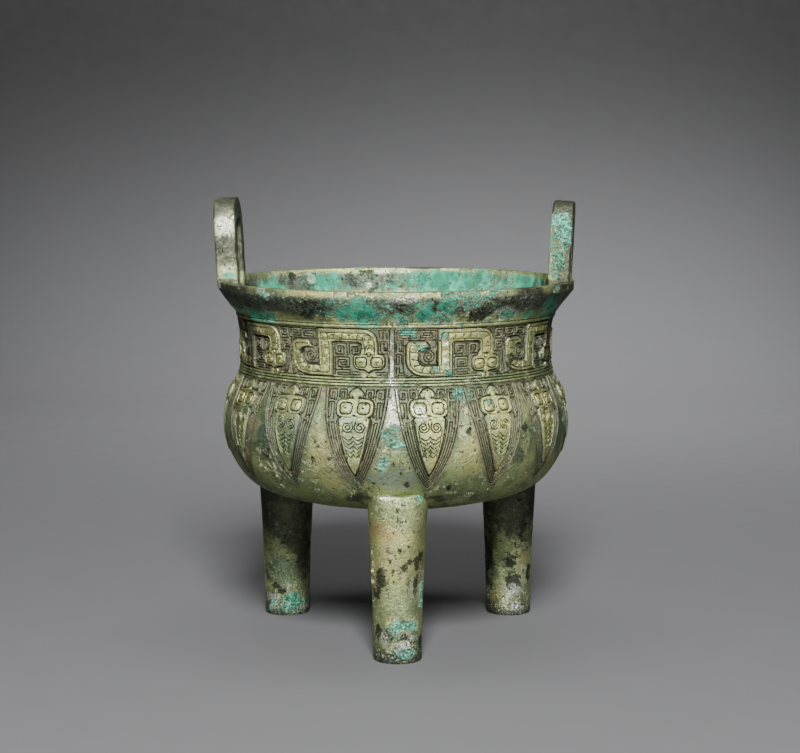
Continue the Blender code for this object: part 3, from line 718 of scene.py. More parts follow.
def carve_blade_side(carving, turn, side):
    """One half of what lies either side of a blade's middle."""
    x, y = side * 3.9, 113.3
    carving.boss(turn, x, y, 2.3, 2.1, 0.4)
    carving.groove(turn, ring(x, y, 2.7, 2.4, 1.9), 0.8, 0.6)
    carving.groove(turn, [(x - 0.2, y), (x + 0.2, y)], 0.9, 0.5)
    for left, right, low, high in ((-12.2, -8.7, 117.3, 121.3), (-7.7, -4.2, 117.9, 121.3),
                                   (-12.1, -9.6, 109.7, 116.0)):
        cell = (left, right) if side < 0 else (-right, -left)
        carving.groove(turn, key(*cell, low, high, side))
    top = leaf_half_width(107.6, leaf_between(0.42)), leaf_half_width(107.6, leaf_between(0.62))
    carving.groove(turn, [(side * top[0], 107.6), (side * top[1], 107.6)])
    carving.groove(turn, curl(side * 2.9, 105.6, 2.6, 1.8, 150.0, side), 0.7, 0.5)
    lining = [(side * (leaf_half_width(height, CICADA) - 1.0), height)
              for height in (104.0, 101.0, 97.5, 93.0)]
    carving.groove(turn, smooth(lining, CURVE_STEP), 0.55, 0.4)


def carve_section():
    """Draw one mould section: three dragons, the ground between them, and five hanging blades."""
    carving = Carving()
    for number in range(DRAGONS):
        turn = DRAGON_MARGIN + number * DRAGON_PITCH
        carve_dragon(carving, turn, HEAD_LIFTS[number])
        carve_band_ground(carving, turn, HEAD_LIFTS[number], number == 0, number == DRAGONS - 1)
    for number in range(BLADES):
        carve_blade(carving, (number + 0.5) * BLADE_PITCH)
    for x in (SEAM_STRIP, SECTION_LENGTH - SEAM_STRIP):
        carving.sink(np.array(divided([(x, 147.0), (x, 127.0)], STRAIGHT_STEP)), GROOVE_WIDTH, GROOVE_DEPTH)
    return carving


# --- The casting ------------------------------------------------------------------------------------------

def outside_outline():
    """The bowl's outside at even steps from the underside's middle to the lip, meeting the carved sheet."""
    run = np.concatenate([[0.0], np.cumsum(np.hypot(*np.diff(WALL_CURVE, axis=0).T))])
    radii, heights = WALL_CURVE.T
    stops = [0.0, np.interp(SHEET_FOOT, heights, run), np.interp(SHEET_TOP, heights, run), run[-1]]
    outline = []
    for start, end in zip(stops, stops[1:]):
        count = ceil((end - start) / TURNED_STEP)
        for place in np.linspace(start, end, count, endpoint=False):
            outline.append((np.interp(place, run, radii), np.interp(place, run, heights)))
    return outline + [tuple(WALL_CURVE[-1])]


def moved_inwards(outline, distance):
    """An outline of (radius, height) moved square to itself into the wall, as far as the middle."""
    return [(max(radius, 0.0), height) for radius, height in beside(outline, distance)]


def new_shape(points, closed=False):
    """A bmesh that starts as one line of points in mm."""
    shape = bmesh.new()
    corners = [shape.verts.new(Vector(point) * MM) for point in points]
    for pair in zip(corners, corners[1:] + (corners[:1] if closed else [])):
        shape.edges.new(pair)
    return shape


def turn_round(shape, steps):
    """Turn all of a shape's line once round Z."""
    bmesh.ops.spin(shape, geom=shape.verts[:] + shape.edges[:], cent=(0, 0, 0), axis=(0, 0, 1), angle=2 * pi,
                   steps=steps, use_merge=True)
    bmesh.ops.remove_doubles(shape, verts=shape.verts, dist=CLOSEST * MM / 4)
    bmesh.ops.recalc_face_normals(shape, faces=shape.faces)


def as_object(name, shape):
    """Finish a bmesh as an object in the scene."""
    mesh = bpy.data.meshes.new(name)
    shape.to_mesh(mesh)
    shape.free()
    piece = bpy.data.objects.new(name, mesh)
    bpy.context.scene.collection.objects.link(piece)
    return piece


def combined(piece, others, operation):
    """The mesh of a piece joined to other solids, or cut by them, which are used up."""
    for other in others:
        modifier = piece.modifiers.new(other.name, "BOOLEAN")
        modifier.operation = operation
        modifier.object = other
    mesh = bpy.data.meshes.new_from_object(piece.evaluated_get(bpy.context.evaluated_depsgraph_get()))
    piece.modifiers.clear()
    piece.data = mesh
    for other in others:
        bpy.data.objects.remove(other)
    return piece


def turned(name, outline, steps, closed=False):
    """Turn an outline of (radius, height) into a solid, starting at the mould seam."""
    shape = new_shape([(radius, 0.0, height) for radius, height in outline], closed)
    seam = Matrix.Rotation(radians(FRONT + CARVING_TURN), 3, "Z")
    bmesh.ops.rotate(shape, verts=shape.verts, cent=(0, 0, 0), matrix=seam)
    turn_round(shape, steps)
    return as_object(name, shape)


def bowl():
    """The hollow bowl with its lip and a plain wall where the carved sheet goes."""
    outside = outside_outline()
    lip = rounded([(LIP_RADIUS - 0.2, WALL_CURVE[-1][1] + 0.6), (LIP_RADIUS, LIP_TOP, LIP_EDGE),
                   (LIP_RADIUS - LIP_WIDTH, LIP_TOP, LIP_EDGE),
                   (LIP_RADIUS - LIP_WIDTH - 0.3, LIP_TOP - 1.5)])
    inside = [point for point in moved_inwards(outside, WALL) if point[1] < LIP_TOP - LIP_DEPTH]
    return turned("bowl", outside + lip + inside[::-1], SECTIONS * SHEET_STEPS)


def leg(angle):
    """One round leg, cut off inside the bowl's wall."""
    side = divided(rounded(LEG_FOOT + LEG_SIDE + LEG_SHOULDER), TURNED_STEP)
    side = [(0.0, 0.0)] + side + [(0.0, side[-1][1])]
    shape = new_shape([(radius, 0.0, height) for radius, height in side])
    turn_round(shape, LEG_STEPS)
    outwards = Vector((cos(radians(angle)), sin(radians(angle)), 0.0)) * LEG_CIRCLE
    bmesh.ops.translate(shape, verts=shape.verts, vec=(outwards + Vector((LEGS_OFF_CENTRE, 0, 0))) * MM)
    piece = as_object("leg", shape)
    middle = [point for point in moved_inwards(outside_outline(), WALL / 2) if point[1] < BELLY[-1][1]]
    hollow = turned("hollow", middle + [(0.0, middle[-1][1])], LEG_STEPS)
    return combined(piece, [hollow], "DIFFERENCE")


def handle_bar(top):
    """A handle's rounded bar, carried up to its top, over and down."""
    half_thick, half_bar = HANDLE_THICKNESS / 2, HANDLE_BAR / 2
    middle = HANDLE_WIDTH / 2 - half_bar
    bend = HANDLE_CORNER - half_bar
    section = [(x * half_thick, y * half_bar, HANDLE_EDGE) for x, y in ((1, 1), (-1, 1), (-1, -1), (1, -1))]
    ring_points = divided(rounded(section, closed=True), TURNED_STEP)[:-1]
    shape = new_shape([(x, y - middle, HANDLE_FOOT) for x, y in ring_points], closed=True)
    bmesh.ops.contextual_create(shape, geom=shape.edges[:])
    loop = shape.edges[:]
    bend_level = top - half_bar - bend
    reach = middle - bend

    def carry(way):
        """Draw the open end on by a distance, in short steps."""
        nonlocal loop
        count = ceil(way.length / TURNED_STEP)
        for _ in range(count):
            grown = bmesh.ops.extrude_edge_only(shape, edges=loop)["geom"]
            loop = [part for part in grown if isinstance(part, bmesh.types.BMEdge)]
            moving = list({corner for edge in loop for corner in edge.verts})
            bmesh.ops.translate(shape, verts=moving, vec=way * MM / count)

    def turn_over(y):
        """Bend the open end by a right angle about a point."""
        nonlocal loop
        bent = bmesh.ops.spin(shape, geom=loop, cent=Vector((0, y, bend_level)) * MM, axis=(-1, 0, 0),
                              angle=pi / 2, steps=HANDLE_BEND_STEPS)["geom_last"]
        loop = [part for part in bent if isinstance(part, bmesh.types.BMEdge)]

    carry(Vector((0, 0, bend_level - HANDLE_FOOT)))
    turn_over(-reach)
    carry(Vector((0, 2 * reach, 0)))
    turn_over(reach)
    carry(Vector((0, 0, HANDLE_FOOT - bend_level)))
    bmesh.ops.contextual_create(shape, geom=loop)
    bmesh.ops.remove_doubles(shape, verts=shape.verts, dist=CLOSEST * MM / 4)
    bmesh.ops.recalc_face_normals(shape, faces=shape.faces)
    return shape


def handle(side):
    """One upright loop in its place on the lip, its feet cut off inside the flare."""
    shape = handle_bar(HANDLE_TOPS[side])
    lean = Matrix.Rotation(radians(side * HANDLE_LEANS[side]), 4, "Y")
    twist = Matrix.Rotation(radians(HANDLE_TWISTS[side]), 4, "Z")
    foot = Matrix.Translation(Vector((0, 0, -LIP_TOP)) * MM)
    place = Matrix.Translation(Vector((side * (HANDLE_OUTER_FACE - HANDLE_THICKNESS / 2), 0, LIP_TOP)) * MM)
    bmesh.ops.transform(shape, matrix=place @ twist @ lean @ foot, verts=shape.verts)
    piece = as_object("handle", shape)
    middle_wall = [point for point in moved_inwards(outside_outline(), WALL / 3) if point[1] > COLLAR_FOOT]
    beyond = LIP_RADIUS + COLLAR_REACH
    collar = middle_wall + [(beyond, middle_wall[-1][1]), (beyond, middle_wall[0][1])]
    return combined(piece, [turned("collar", collar, SHEET_STEPS, closed=True)], "DIFFERENCE")


def wrapped_sheets():
    """The carved sheet wrapped round the bowl, once for each mould section, as points in mm and triangles."""
    carving = carve_section()
    flat, faces, heights, depths = carving.sheet()
    points, corners = [], []
    for section in range(SECTIONS):
        turn = radians(FRONT + CARVING_TURN + section * 360.0 / SECTIONS)
        points.append(wall_point(turn + flat[:, 0] / FLAT_RADIUS, flat[:, 1], heights))
        corners += [[corner + section * len(flat) for corner in face] for face in faces]
    marks = {"relief": heights, "groove": depths / GROOVE_DEPTH, "ground": carving.ground(flat, heights)}
    return np.concatenate(points), corners, {name: np.tile(mark, SECTIONS) for name, mark in marks.items()}


def belt_faces(shape):
    """The plain faces where the carved sheet goes."""
    belt = []
    for face in shape.faces:
        place = face.calc_center_median() / MM
        on_outside = hypot(place.x, place.y) > wall_radius(place.z) - WALL / 2
        if on_outside and SHEET_FOOT < place.z < SHEET_TOP:
            belt.append(face)
    return belt


def cast_vessel():
    """Bowl, legs, handles and carving as one closed surface."""
    limbs = [leg(angle) for angle in LEG_ANGLES] + [handle(side) for side in (1, -1)]
    piece = combined(bowl(), limbs, "UNION")
    shape = bmesh.new()
    shape.from_mesh(piece.data)
    bmesh.ops.delete(shape, geom=belt_faces(shape), context="FACES")
    points, triangles, marks = wrapped_sheets()
    layers = [shape.verts.layers.float.new(name) for name in marks]
    corners = [shape.verts.new(point * MM) for point in points]
    for layer, mark in zip(layers, marks.values()):
        for corner, value in zip(corners, mark):
            corner[layer] = value
    for triangle in triangles:
        shape.faces.new([corners[number] for number in triangle])
    rims = [corner for corner in shape.verts if corner.is_boundary]
    bmesh.ops.remove_doubles(shape, verts=rims, dist=CLOSEST / 2 * MM)
    bmesh.ops.recalc_face_normals(shape, faces=shape.faces)
    for face in shape.faces:
        face.smooth = True
    shape.to_mesh(piece.data)
    shape.free()
    piece.data.set_sharp_from_angle(angle=radians(CRISP_ANGLE))
    piece.name = "ding"
    return piece


# --- Weathering -------------------------------------------------------------------------------------------

def areas_of(places):
    """For each area of the vessel, which points lie on it, and the upright axis that its turns go round."""
    x, y, z = places.T
    areas = {}
    taken = z > LIP_TOP + LIP_EDGE
    for name, side in (("right_handle", 1), ("left_handle", -1)):
        areas[name] = taken & (x * side > 0), (side * HANDLE_POST[0], HANDLE_POST[1])
    for name, angle in zip(("front_leg", "right_leg", "left_leg"), LEG_ANGLES):
        axis = LEG_CIRCLE * cos(radians(angle)) + LEGS_OFF_CENTRE, LEG_CIRCLE * sin(radians(angle))
        areas[name] = (np.hypot(x - axis[0], y - axis[1]) < LEG_REACH) & (z < LEG_TOP), axis
        taken = taken | areas[name][0]
    deep = wall_radius(z) - np.hypot(x, y) > INSIDE_DEPTH
    inside = ~taken & deep & (z < LIP_TOP - LIP_EDGE)
    areas["inside"] = inside, (0.0, 0.0)
    areas["bowl"] = ~taken & ~inside, (0.0, 0.0)
    return areas


def strength(places, axis, patches):
    """How strongly patches of patina show at each place: 1 well inside one, fading to 0 outside all."""
    x, y = places[:, 0] - axis[0], places[:, 1] - axis[1]
    turns, radii = np.degrees(np.arctan2(x, -y)), np.hypot(x, y)
    share = np.zeros(len(places))
    for turn, height, half_width, half_height in patches:
        along = np.radians((turns - turn + 180) % 360 - 180) * radii
        away = np.hypot(along / half_width, (places[:, 2] - height) / half_height)
        share = np.maximum(share, np.clip((1 + PATCH_FADE - away) / (2 * PATCH_FADE), 0, 1))
    return share


def all_round(patches):
    """The bowl's patches, and those of its front again on its other two sides."""
    return [(turn + repeat, *rest) for turn, *rest in patches
            for repeat in (REPEATS if abs(turn) < WIDEST_REPEAT else REPEATS[:1])]


def patch_shares(places):
    """How strongly each tone of patina shows at each place, in mm. The drift is the same at each run."""
    noise.seed_set(DRIFT_SEED)
    drift = [noise.noise_vector(Vector(place / DRIFT_SIZE)) * PATCH_DRIFT for place in places]
    drifted = places + drift
    areas = areas_of(places)
    shares = {tone: np.zeros(len(places)) for tone in PATCHES}
    for tone, patches in PATCHES.items():
        for area, (chosen, axis) in areas.items():
            own = all_round(patches.get(area, [])) if area == "bowl" else patches.get(area, [])
            shares[tone][chosen] = strength(drifted[chosen], axis, own)
    return shares


def hollow_shares(places):
    """How far each place lies in the bowl's hollow: 1 well below the lip, 0 at it and on the outside."""
    within = wall_radius(places[:, 2]) - np.hypot(places[:, 0], places[:, 1]) - INSIDE_DEPTH
    return np.clip(within, 0, 1) * np.clip((HOLLOW_TOP - places[:, 2]) / HOLLOW_FADE, 0, 1)


def weathered(piece, swell, pitting):
    """Mark where each patina lies, and give the metal a cast and corroded surface, not a perfect one."""
    mesh = piece.data
    places, normals = np.empty(len(mesh.vertices) * 3), np.empty(len(mesh.vertices) * 3)
    mesh.vertices.foreach_get("co", places)
    mesh.vertices.foreach_get("normal", normals)
    places, normals = places.reshape(-1, 3) / MM, normals.reshape(-1, 3)
    shares = patch_shares(places)
    for name, values in {**shares, "hollow": hollow_shares(places)}.items():
        mesh.attributes.new(name, "FLOAT", "POINT").data.foreach_set("value", values)
    rise = []
    for place, crust in zip(places, shares["verdigris"]):
        wave = noise.noise(Vector(place / SWELL_SIZE)) + 0.5 * noise.noise(Vector(place / SWELL_SIZE * 2.7))
        roughness = noise.noise(Vector(place / PIT_SIZE)) * (1 + 2 * crust)
        rise.append(wave * swell + roughness * pitting + crust * CRUST_RISE * (0.4 + roughness))
    places += normals * np.array(rise)[:, None]
    places[:, 2] = np.maximum(places[:, 2], 0.0)
    mesh.vertices.foreach_set("co", (places * MM).ravel())
    mesh.update()


# --- Patina -----------------------------------------------------------------------------------------------

class Value:
    """A shader value that does its sums with Math nodes."""

    def __init__(self, finish, socket):
        self.finish, self.socket = finish, socket

    def worked_out(self, operation, *values):
        return self.finish.node("ShaderNodeMath", {"operation": operation}, dict(enumerate(values)))

    def __add__(self, other):
        return self.worked_out("ADD", self, other)

    def __sub__(self, other):
        return self.worked_out("SUBTRACT", self, other)

    def __rsub__(self, other):
        return self.worked_out("SUBTRACT", other, self)

    def __mul__(self, other):
        return self.worked_out("MULTIPLY", self, other)

    def __abs__(self):
        return self.worked_out("ABSOLUTE", self)

    def or_more(self, other):
        """The greater of this value and another."""
        return self.worked_out("MAXIMUM", self, other)

    __radd__ = __add__
    __rmul__ = __mul__


class Finish:
    """A material put together from shader nodes."""

    def __init__(self, name):
        self.material = bpy.data.materials.new(name)
        self.material.use_nodes = True
        self.tree = self.material.node_tree
        self.tree.nodes.clear()

    def node(self, kind, settings, sockets, output=0):
        """Add a node: its settings, then the values or links of its sockets. Gives one of its outputs."""
        node = self.tree.nodes.new(kind)
        for name, value in settings.items():
            setattr(node, name, value)
        for name, value in sockets.items():
            if isinstance(value, Value):
                self.tree.links.new(value.socket, node.inputs[name])
            else:
                node.inputs[name].default_value = value
        return Value(self, node.outputs[output]) if node.outputs else node

    def attribute(self, name):
        """One of the piece's own marks."""
        return self.node("ShaderNodeAttribute", {"attribute_name": name}, {}, "Fac")

    def noise(self, place, size, detail=4.0, roughness=0.55):
        """Soft noise from 0 to 1 whose lumps are about a size in mm."""
        sockets = {"Vector": place, "Scale": 1.0 / size, "Detail": detail, "Roughness": roughness}
        return self.node("ShaderNodeTexNoise", {}, sockets, "Fac")

    def step(self, value, low, high):
        """A soft step from 0 at low to 1 at high. Low may be above high."""
        sockets = {"Value": value, "From Min": low, "From Max": high}
        return self.node("ShaderNodeMapRange", {"interpolation_type": "SMOOTHSTEP"}, sockets)

    def mix(self, share, first, second):
        """The first colour, going over to the second as the share rises."""
        first, second = (colour if isinstance(colour, Value) else (*colour, 1) for colour in (first, second))
        return self.node("ShaderNodeMix", {"data_type": "RGBA"}, {0: share, 6: first, 7: second}, 2)

    def layered(self, colour, layers):
        """A colour with others laid over it in order, each by its share."""
        for share, above in layers:
            colour = self.mix(share, colour, above)
        return colour

    def vectors(self, operation, sockets):
        """A sum on vectors."""
        return self.node("ShaderNodeVectorMath", {"operation": operation}, sockets, 0)

    def object_place(self):
        """The place on the object, in its own coordinates."""
        return self.node("ShaderNodeTexCoord", {}, {}, "Object")

    def coordinate(self, place, axis):
        """A place's x, y or z: axis 0, 1 or 2."""
        return self.node("ShaderNodeSeparateXYZ", {}, {0: place}, axis)


class Bronze(Finish):
    """The vessel's metal. First come its textures and where each patina shows, then the colours of each."""

    def __init__(self, colours):
        super().__init__("bronze_patina")
        self.colours = colours
        place = self.vectors("SCALE", {0: self.object_place(), "Scale": 1 / MM})
        shift = self.node("ShaderNodeTexNoise", {}, {"Vector": place, "Scale": 0.3, "Detail": 3.0}, "Color")
        bent = self.vectors("MULTIPLY_ADD", {0: shift, 1: (2.5, 2.5, 2.5), 2: place})
        self.place, self.bent = place, bent
        self.height = self.coordinate(place, 2)
        self.cloud = self.noise(bent, 16.0, 6.0, 0.6)
        self.mottle = self.noise(bent, 4.0, 5.0, 0.65)
        self.speck = self.noise(place, 0.9, 4.0, 0.7)
        self.grain = self.noise(place, 0.35, 3.0, 0.6)
        self.broken = (self.mottle - 0.5) * 1.1 + (self.speck - 0.5) * 0.7
        web = abs(self.noise(bent, 2.6, 3.0, 0.6) - 0.5)
        self.threads = self.step(web, 0.045, 0.012) * self.step(self.speck, 0.47, 0.56)
        self.streaks = self.noise(self.vectors("MULTIPLY", {0: bent, 1: (1.0, 1.0, 0.35)}), 4.5, 5.0, 0.6)
        self.find_wear()
        self.find_crusts()

    def patch(self, name, low=0.4, high=0.6, rough=1.0):
        """A patch of patina with a broken edge."""
        return self.step(self.attribute(name) + self.broken * rough, low, high)

    def find_wear(self):
        """Where the ground, hollow, feet and flare have their own patina, with painted shade on flare and
        feet.
        """
        mottle, speck = self.mottle, self.speck
        self.ground = self.attribute("ground")
        self.hollow = self.attribute("hollow")
        self.foot = self.step(self.height + (mottle - 0.5) * 30, FOOT_WEAR, 0.0)
        # Painted contact shade, darker towards the feet's bottom edge
        self.foot_contact_shade = self.step(self.height + (mottle - 0.5) * 6, *FOOT_CONTACT_SHADE)
        # The flare faces down: its dark crust is patina with painted shade.
        low_edge = self.step(self.height + (mottle - 0.5) * 5, *FLARE_SHADE_FOOT)
        self.flare = low_edge * self.step(self.height, *FLARE_SHADE_EDGE)
        self.bare = self.patch("bare_dark", 0.4, 0.6, 1.2)
        # Whitened metal, and painted highlights on the seam, the belly's middle and the left handle's front
        self.whitened_and_highlight = self.patch("whitened_and_highlight", 0.35, 0.8) * self.step(speck + mottle * 0.6, 0.95, 0.72)
        # Slate patches are grey metal, and painted shade on the back legs, the band's far flanks, just above
        # the legs and the handles' shaded sides.
        self.slate_and_shade = self.patch("slate_and_shade", 0.25, 0.75, 0.3)

    def find_crusts(self):
        """Where the green crust, the thin wash, grime with painted shade in the grooves, chips and pits lie.
        """
        bent, speck = self.bent, self.speck
        spots = self.step(self.noise(bent, 9.0, 7.0, 0.75), 0.635, 0.68)
        self.crust = self.patch("verdigris", 0.4, 0.6, 1.2).or_more(spots * 0.8)
        flat = self.vectors("MULTIPLY", {0: bent, 1: (0.5, 0.5, 1.3)})
        self.dashes = self.step(self.noise(flat, 1.1, 4.0, 0.65), 0.46, 0.38)
        washed = self.attribute("wash") + self.hollow * 0.4 + (self.streaks - 0.5) * 1.6
        self.wash = self.step(washed, 0.2, 0.75) * (1 - self.slate_and_shade)
        dirt_and_shade = self.step(self.attribute("groove") + (speck - 0.5) * 0.5, 0.2, 0.75)
        self.dirt_and_shade = dirt_and_shade * (1 - self.crust * 0.6)
        ragged = self.noise(bent, 4.0, 8.0, 0.85) + (self.cloud - 0.5) * 0.3
        self.thin_chips = self.step(ragged, 0.435, 0.405)
        pits = self.step(self.noise(self.place, 1.7, 2.0, 0.5), 0.36, 0.3)
        self.pits = pits.or_more(self.step(ragged, 0.4, 0.375))

    def plain_skin(self):
        """Olive and khaki metal with its paler, yellower and duller places, and its dark ground."""
        colours, cloud, mottle, speck = self.colours, self.cloud, self.mottle, self.speck
        film = self.mix(self.step(cloud, 0.4, 0.6), colours.grey_green, colours.mist)
        ground = self.ground * self.step(mottle + speck, 1.4, 0.9)
        dull = self.step(self.noise(self.bent, 30.0, 4.0, 0.6), 0.46, 0.62)
        return self.layered(colours.olive, [
            (self.step(cloud, 0.42, 0.58), colours.khaki),
            (self.step(mottle, 0.52, 0.64) * 0.7, colours.grey_green),
            (self.step(mottle + cloud, 0.97, 0.8) * 0.75, colours.pale),
            (self.patch("mist", 0.3, 0.7) * 0.85, colours.mist),
            # Golden patches, one of them a painted highlight on the belly
            (self.patch("golden_and_highlight", 0.3, 0.8) * 0.75, colours.golden_and_highlight),
            (self.patch("grey_green", 0.3, 0.7) * 0.8, colours.grey_green),
            (self.step(self.attribute("relief"), 0.3, 0.6) * 0.6, colours.golden_and_highlight),
            (self.step(speck, 0.46, 0.36) * 0.3, colours.pale),
            # The dark ground: grime and painted shade
            (ground * 0.9, colours.ground),
            (dull * 0.4, colours.grey_green),
            (self.hollow * self.step(mottle, 0.35, 0.6) * 0.85, film),
            (self.patch("ochre", 0.2, 0.9, 0.6) * 0.7, colours.ochre),
        ])

    def worn_skin(self, skin):
        """A skin with the flare's dark crust, bare, pale and grey places, worn feet, painted shade and
        highlights.
        """
        colours, mottle, speck = self.colours, self.mottle, self.speck
        blotch = self.step(self.noise(self.bent, 5.0, 6.0, 0.75), 0.47, 0.53)
        flecks = self.step(speck + self.grain * 0.5, 0.69, 0.62)
        green_flecks = self.step(self.noise(self.bent, 1.6, 2.0), 0.56, 0.62)
        return self.layered(skin, [
            # The flare's dark crust: old green with painted shade where it faces down
            (self.flare * 0.9, self.mix(blotch, colours.dark_green_and_shade, colours.slate_and_shade)),
            (self.step(speck, 0.55, 0.66) * 0.6, colours.bare),
            (self.foot * self.step(speck + mottle, 0.86, 0.98) * 0.9, colours.bare),
            (self.bare * 0.92, colours.bare),
            # Whitened metal, with painted highlights among it
            (self.whitened_and_highlight * 0.8, colours.whitened_and_highlight),
            # Slate, partly painted shade
            (self.slate_and_shade * 0.85, colours.slate_and_shade),
            (flecks * self.foot * 0.9, colours.whitened_and_highlight),
            (green_flecks * self.foot * 0.8, colours.verdigris),
            # Painted contact shade at the feet's bottom edge
            (self.foot_contact_shade * 0.5, colours.slate_and_shade),
            ((flecks * 0.25 + self.threads * 0.6) * self.flare, colours.frost),
        ])

    def green_crust(self):
        """The crust's own greens, with powdery tops and bare dashes."""
        colours, speck = self.colours, self.speck
        return self.layered(colours.verdigris, [
            (self.step(speck * 1.2 + self.mottle * 1.2, 1.1, 1.5), colours.verdigris_light),
            (self.threads * 0.15 + self.step(self.grain + speck, 1.06, 1.22) * 0.55, colours.whitened_and_highlight),
            (self.dashes * 0.85, colours.bare),
        ])

    def skin(self):
        """All of the colour, from the plain skin up to the grime in the pits."""
        colours = self.colours
        film = self.mix(self.step(self.streaks, 0.42, 0.66), colours.wash, colours.wash_light)
        return self.layered(self.worn_skin(self.plain_skin()), [
            (self.crust * 0.94, self.green_crust()),
            (self.wash * 0.9, film),
            # Grime and painted shade in the grooves
            (self.dirt_and_shade * 0.92, colours.groove),
            (self.thin_chips * 0.4, colours.pale),
            (self.pits * 0.8, colours.groove),
        ])

    def bump(self):
        """Fine roughness: the metal's own, the crust's grains and threads, and the pits."""
        plain = (self.mottle - 0.5) * 0.25 + (self.speck - 0.5) * 0.5 + (self.grain - 0.5) * 0.12
        rough = plain + self.crust * (self.speck - self.dashes) * 0.5 - self.pits * 0.4
        rough = rough + (self.crust + self.flare * 0.4 + self.bare * 0.4) * self.threads * 0.25
        return self.node("ShaderNodeBump", {}, {"Strength": 1.0, "Distance": MM, "Height": rough})

    def roughness(self):
        """Duller on crust, wash, grooves and ground, and a little glossier on pale places and painted
        highlights.
        """
        skin = 0.38 + self.crust * 0.3 + self.wash * 0.25 + (self.mottle - 0.5) * 0.5
        return skin + self.dirt_and_shade * 0.3 + self.ground * 0.1 - self.whitened_and_highlight * 0.12


def bronze_patina(colours):
    """The corroded bronze: olive and khaki skin, dark grooves, green crusts, pale and bare places."""
    finish = Bronze(colours)
    surface = finish.node("ShaderNodeBsdfPrincipled", {}, {
        "Base Color": finish.skin(), "Specular Tint": (0.35, 0.35, 0.35, 1),
        "Metallic": 0.85 - finish.crust * 0.75 - finish.wash * 0.6,
        "Roughness": finish.roughness(), "Normal": finish.bump()})
    finish.node("ShaderNodeOutputMaterial", {}, {"Surface": surface})
    return finish.material


# --- Stage ------------------------------------------------------------------------------------------------

def backdrop_paper(colour):
    """Plain paper with painted shade: darker up the wall and far to either side."""
    finish = Finish("backdrop_paper")
    here = finish.object_place()
    cloud = finish.node("ShaderNodeTexNoise", {}, {"Vector": here, "Scale": 60.0, "Detail": 3.0}, "Fac")
    darker, painted_shade_high_up, painted_shade_aside = (tuple(part * share for part in colour) for share in (0.96, 0.15, 0.1))
    paper = finish.layered(finish.mix(cloud, darker, colour), [
        (finish.step(finish.coordinate(here, 2), *PAPER_SHADE), painted_shade_high_up),
        (finish.step(abs(finish.coordinate(here, 0)), *PAPER_SIDE_SHADE), painted_shade_aside),
    ])
    roughness = 0.7 + cloud * 0.1
    surface = finish.node("ShaderNodeBsdfPrincipled", {}, {"Base Color": paper, "Roughness": roughness})
    finish.node("ShaderNodeOutputMaterial", {}, {"Surface": surface})
    return finish.material


def backdrop(colour):
    """A pale floor that curves up into a wall."""
    shape = new_shape([(-FLOOR_HALF, -FLOOR_FRONT, 0), (-FLOOR_HALF, FLOOR_BACK, 0),
                       (-FLOOR_HALF, FLOOR_BACK, WALL_HEIGHT)])
    corner = [point for point in shape.verts if len(point.link_edges) == 2]
    bmesh.ops.bevel(shape, geom=corner, offset=FLOOR_CURVE * MM, offset_type="OFFSET", segments=24,
                    profile=0.5, affect="VERTICES", material=-1)
    grown = bmesh.ops.extrude_edge_only(shape, edges=shape.edges[:])["geom"]
    corners = [part for part in grown if isinstance(part, bmesh.types.BMVert)]
    bmesh.ops.translate(shape, verts=corners, vec=(2 * FLOOR_HALF * MM, 0, 0))
    bmesh.ops.recalc_face_normals(shape, faces=shape.faces)
    for face in shape.faces:
        face.smooth = True
    floor = as_object("backdrop", shape)
    floor.data.materials.append(backdrop_paper(colour))
    return floor


def soft_light(name, place, size, power, aim=AIM):
    """A soft light that looks at the bowl unless it's aimed elsewhere. Its place is in mm."""
    light = bpy.data.lights.new(name, "AREA")
    light.shape = "RECTANGLE"
    light.size, light.size_y = size
    light.energy = power
    lamp = bpy.data.objects.new(name, light)
    lamp.location = Vector(place) * MM
    lamp.rotation_euler = (Vector(aim) * MM - lamp.location).to_track_quat("-Z", "Y").to_euler()
    bpy.context.scene.collection.objects.link(lamp)
    return light


# --- Add-on -----------------------------------------------------------------------------------------------

def colour_setting(name, description, default):
    """A colour for the sidebar."""
    return bpy.props.FloatVectorProperty(name=name, description=description, default=default, subtype="COLOR",
                                         size=3, min=0, max=1)


def power_setting(name, description, default):
    """A light's power for the sidebar."""
    return bpy.props.FloatProperty(name=name, description=description, default=default, min=0, unit="POWER")


class DingCasting(bpy.types.PropertyGroup):
    """How the metal's surface is cast."""
    swell: bpy.props.FloatProperty(
        name="Swell", description="How far the surface wanders from a true form", subtype="DISTANCE",
        default=0.00014, min=0, max=0.001)
    pitting: bpy.props.FloatProperty(
        name="Pitting", description="How rough the corroded surface is", subtype="DISTANCE",
        default=0.00006, min=0, max=0.0005)


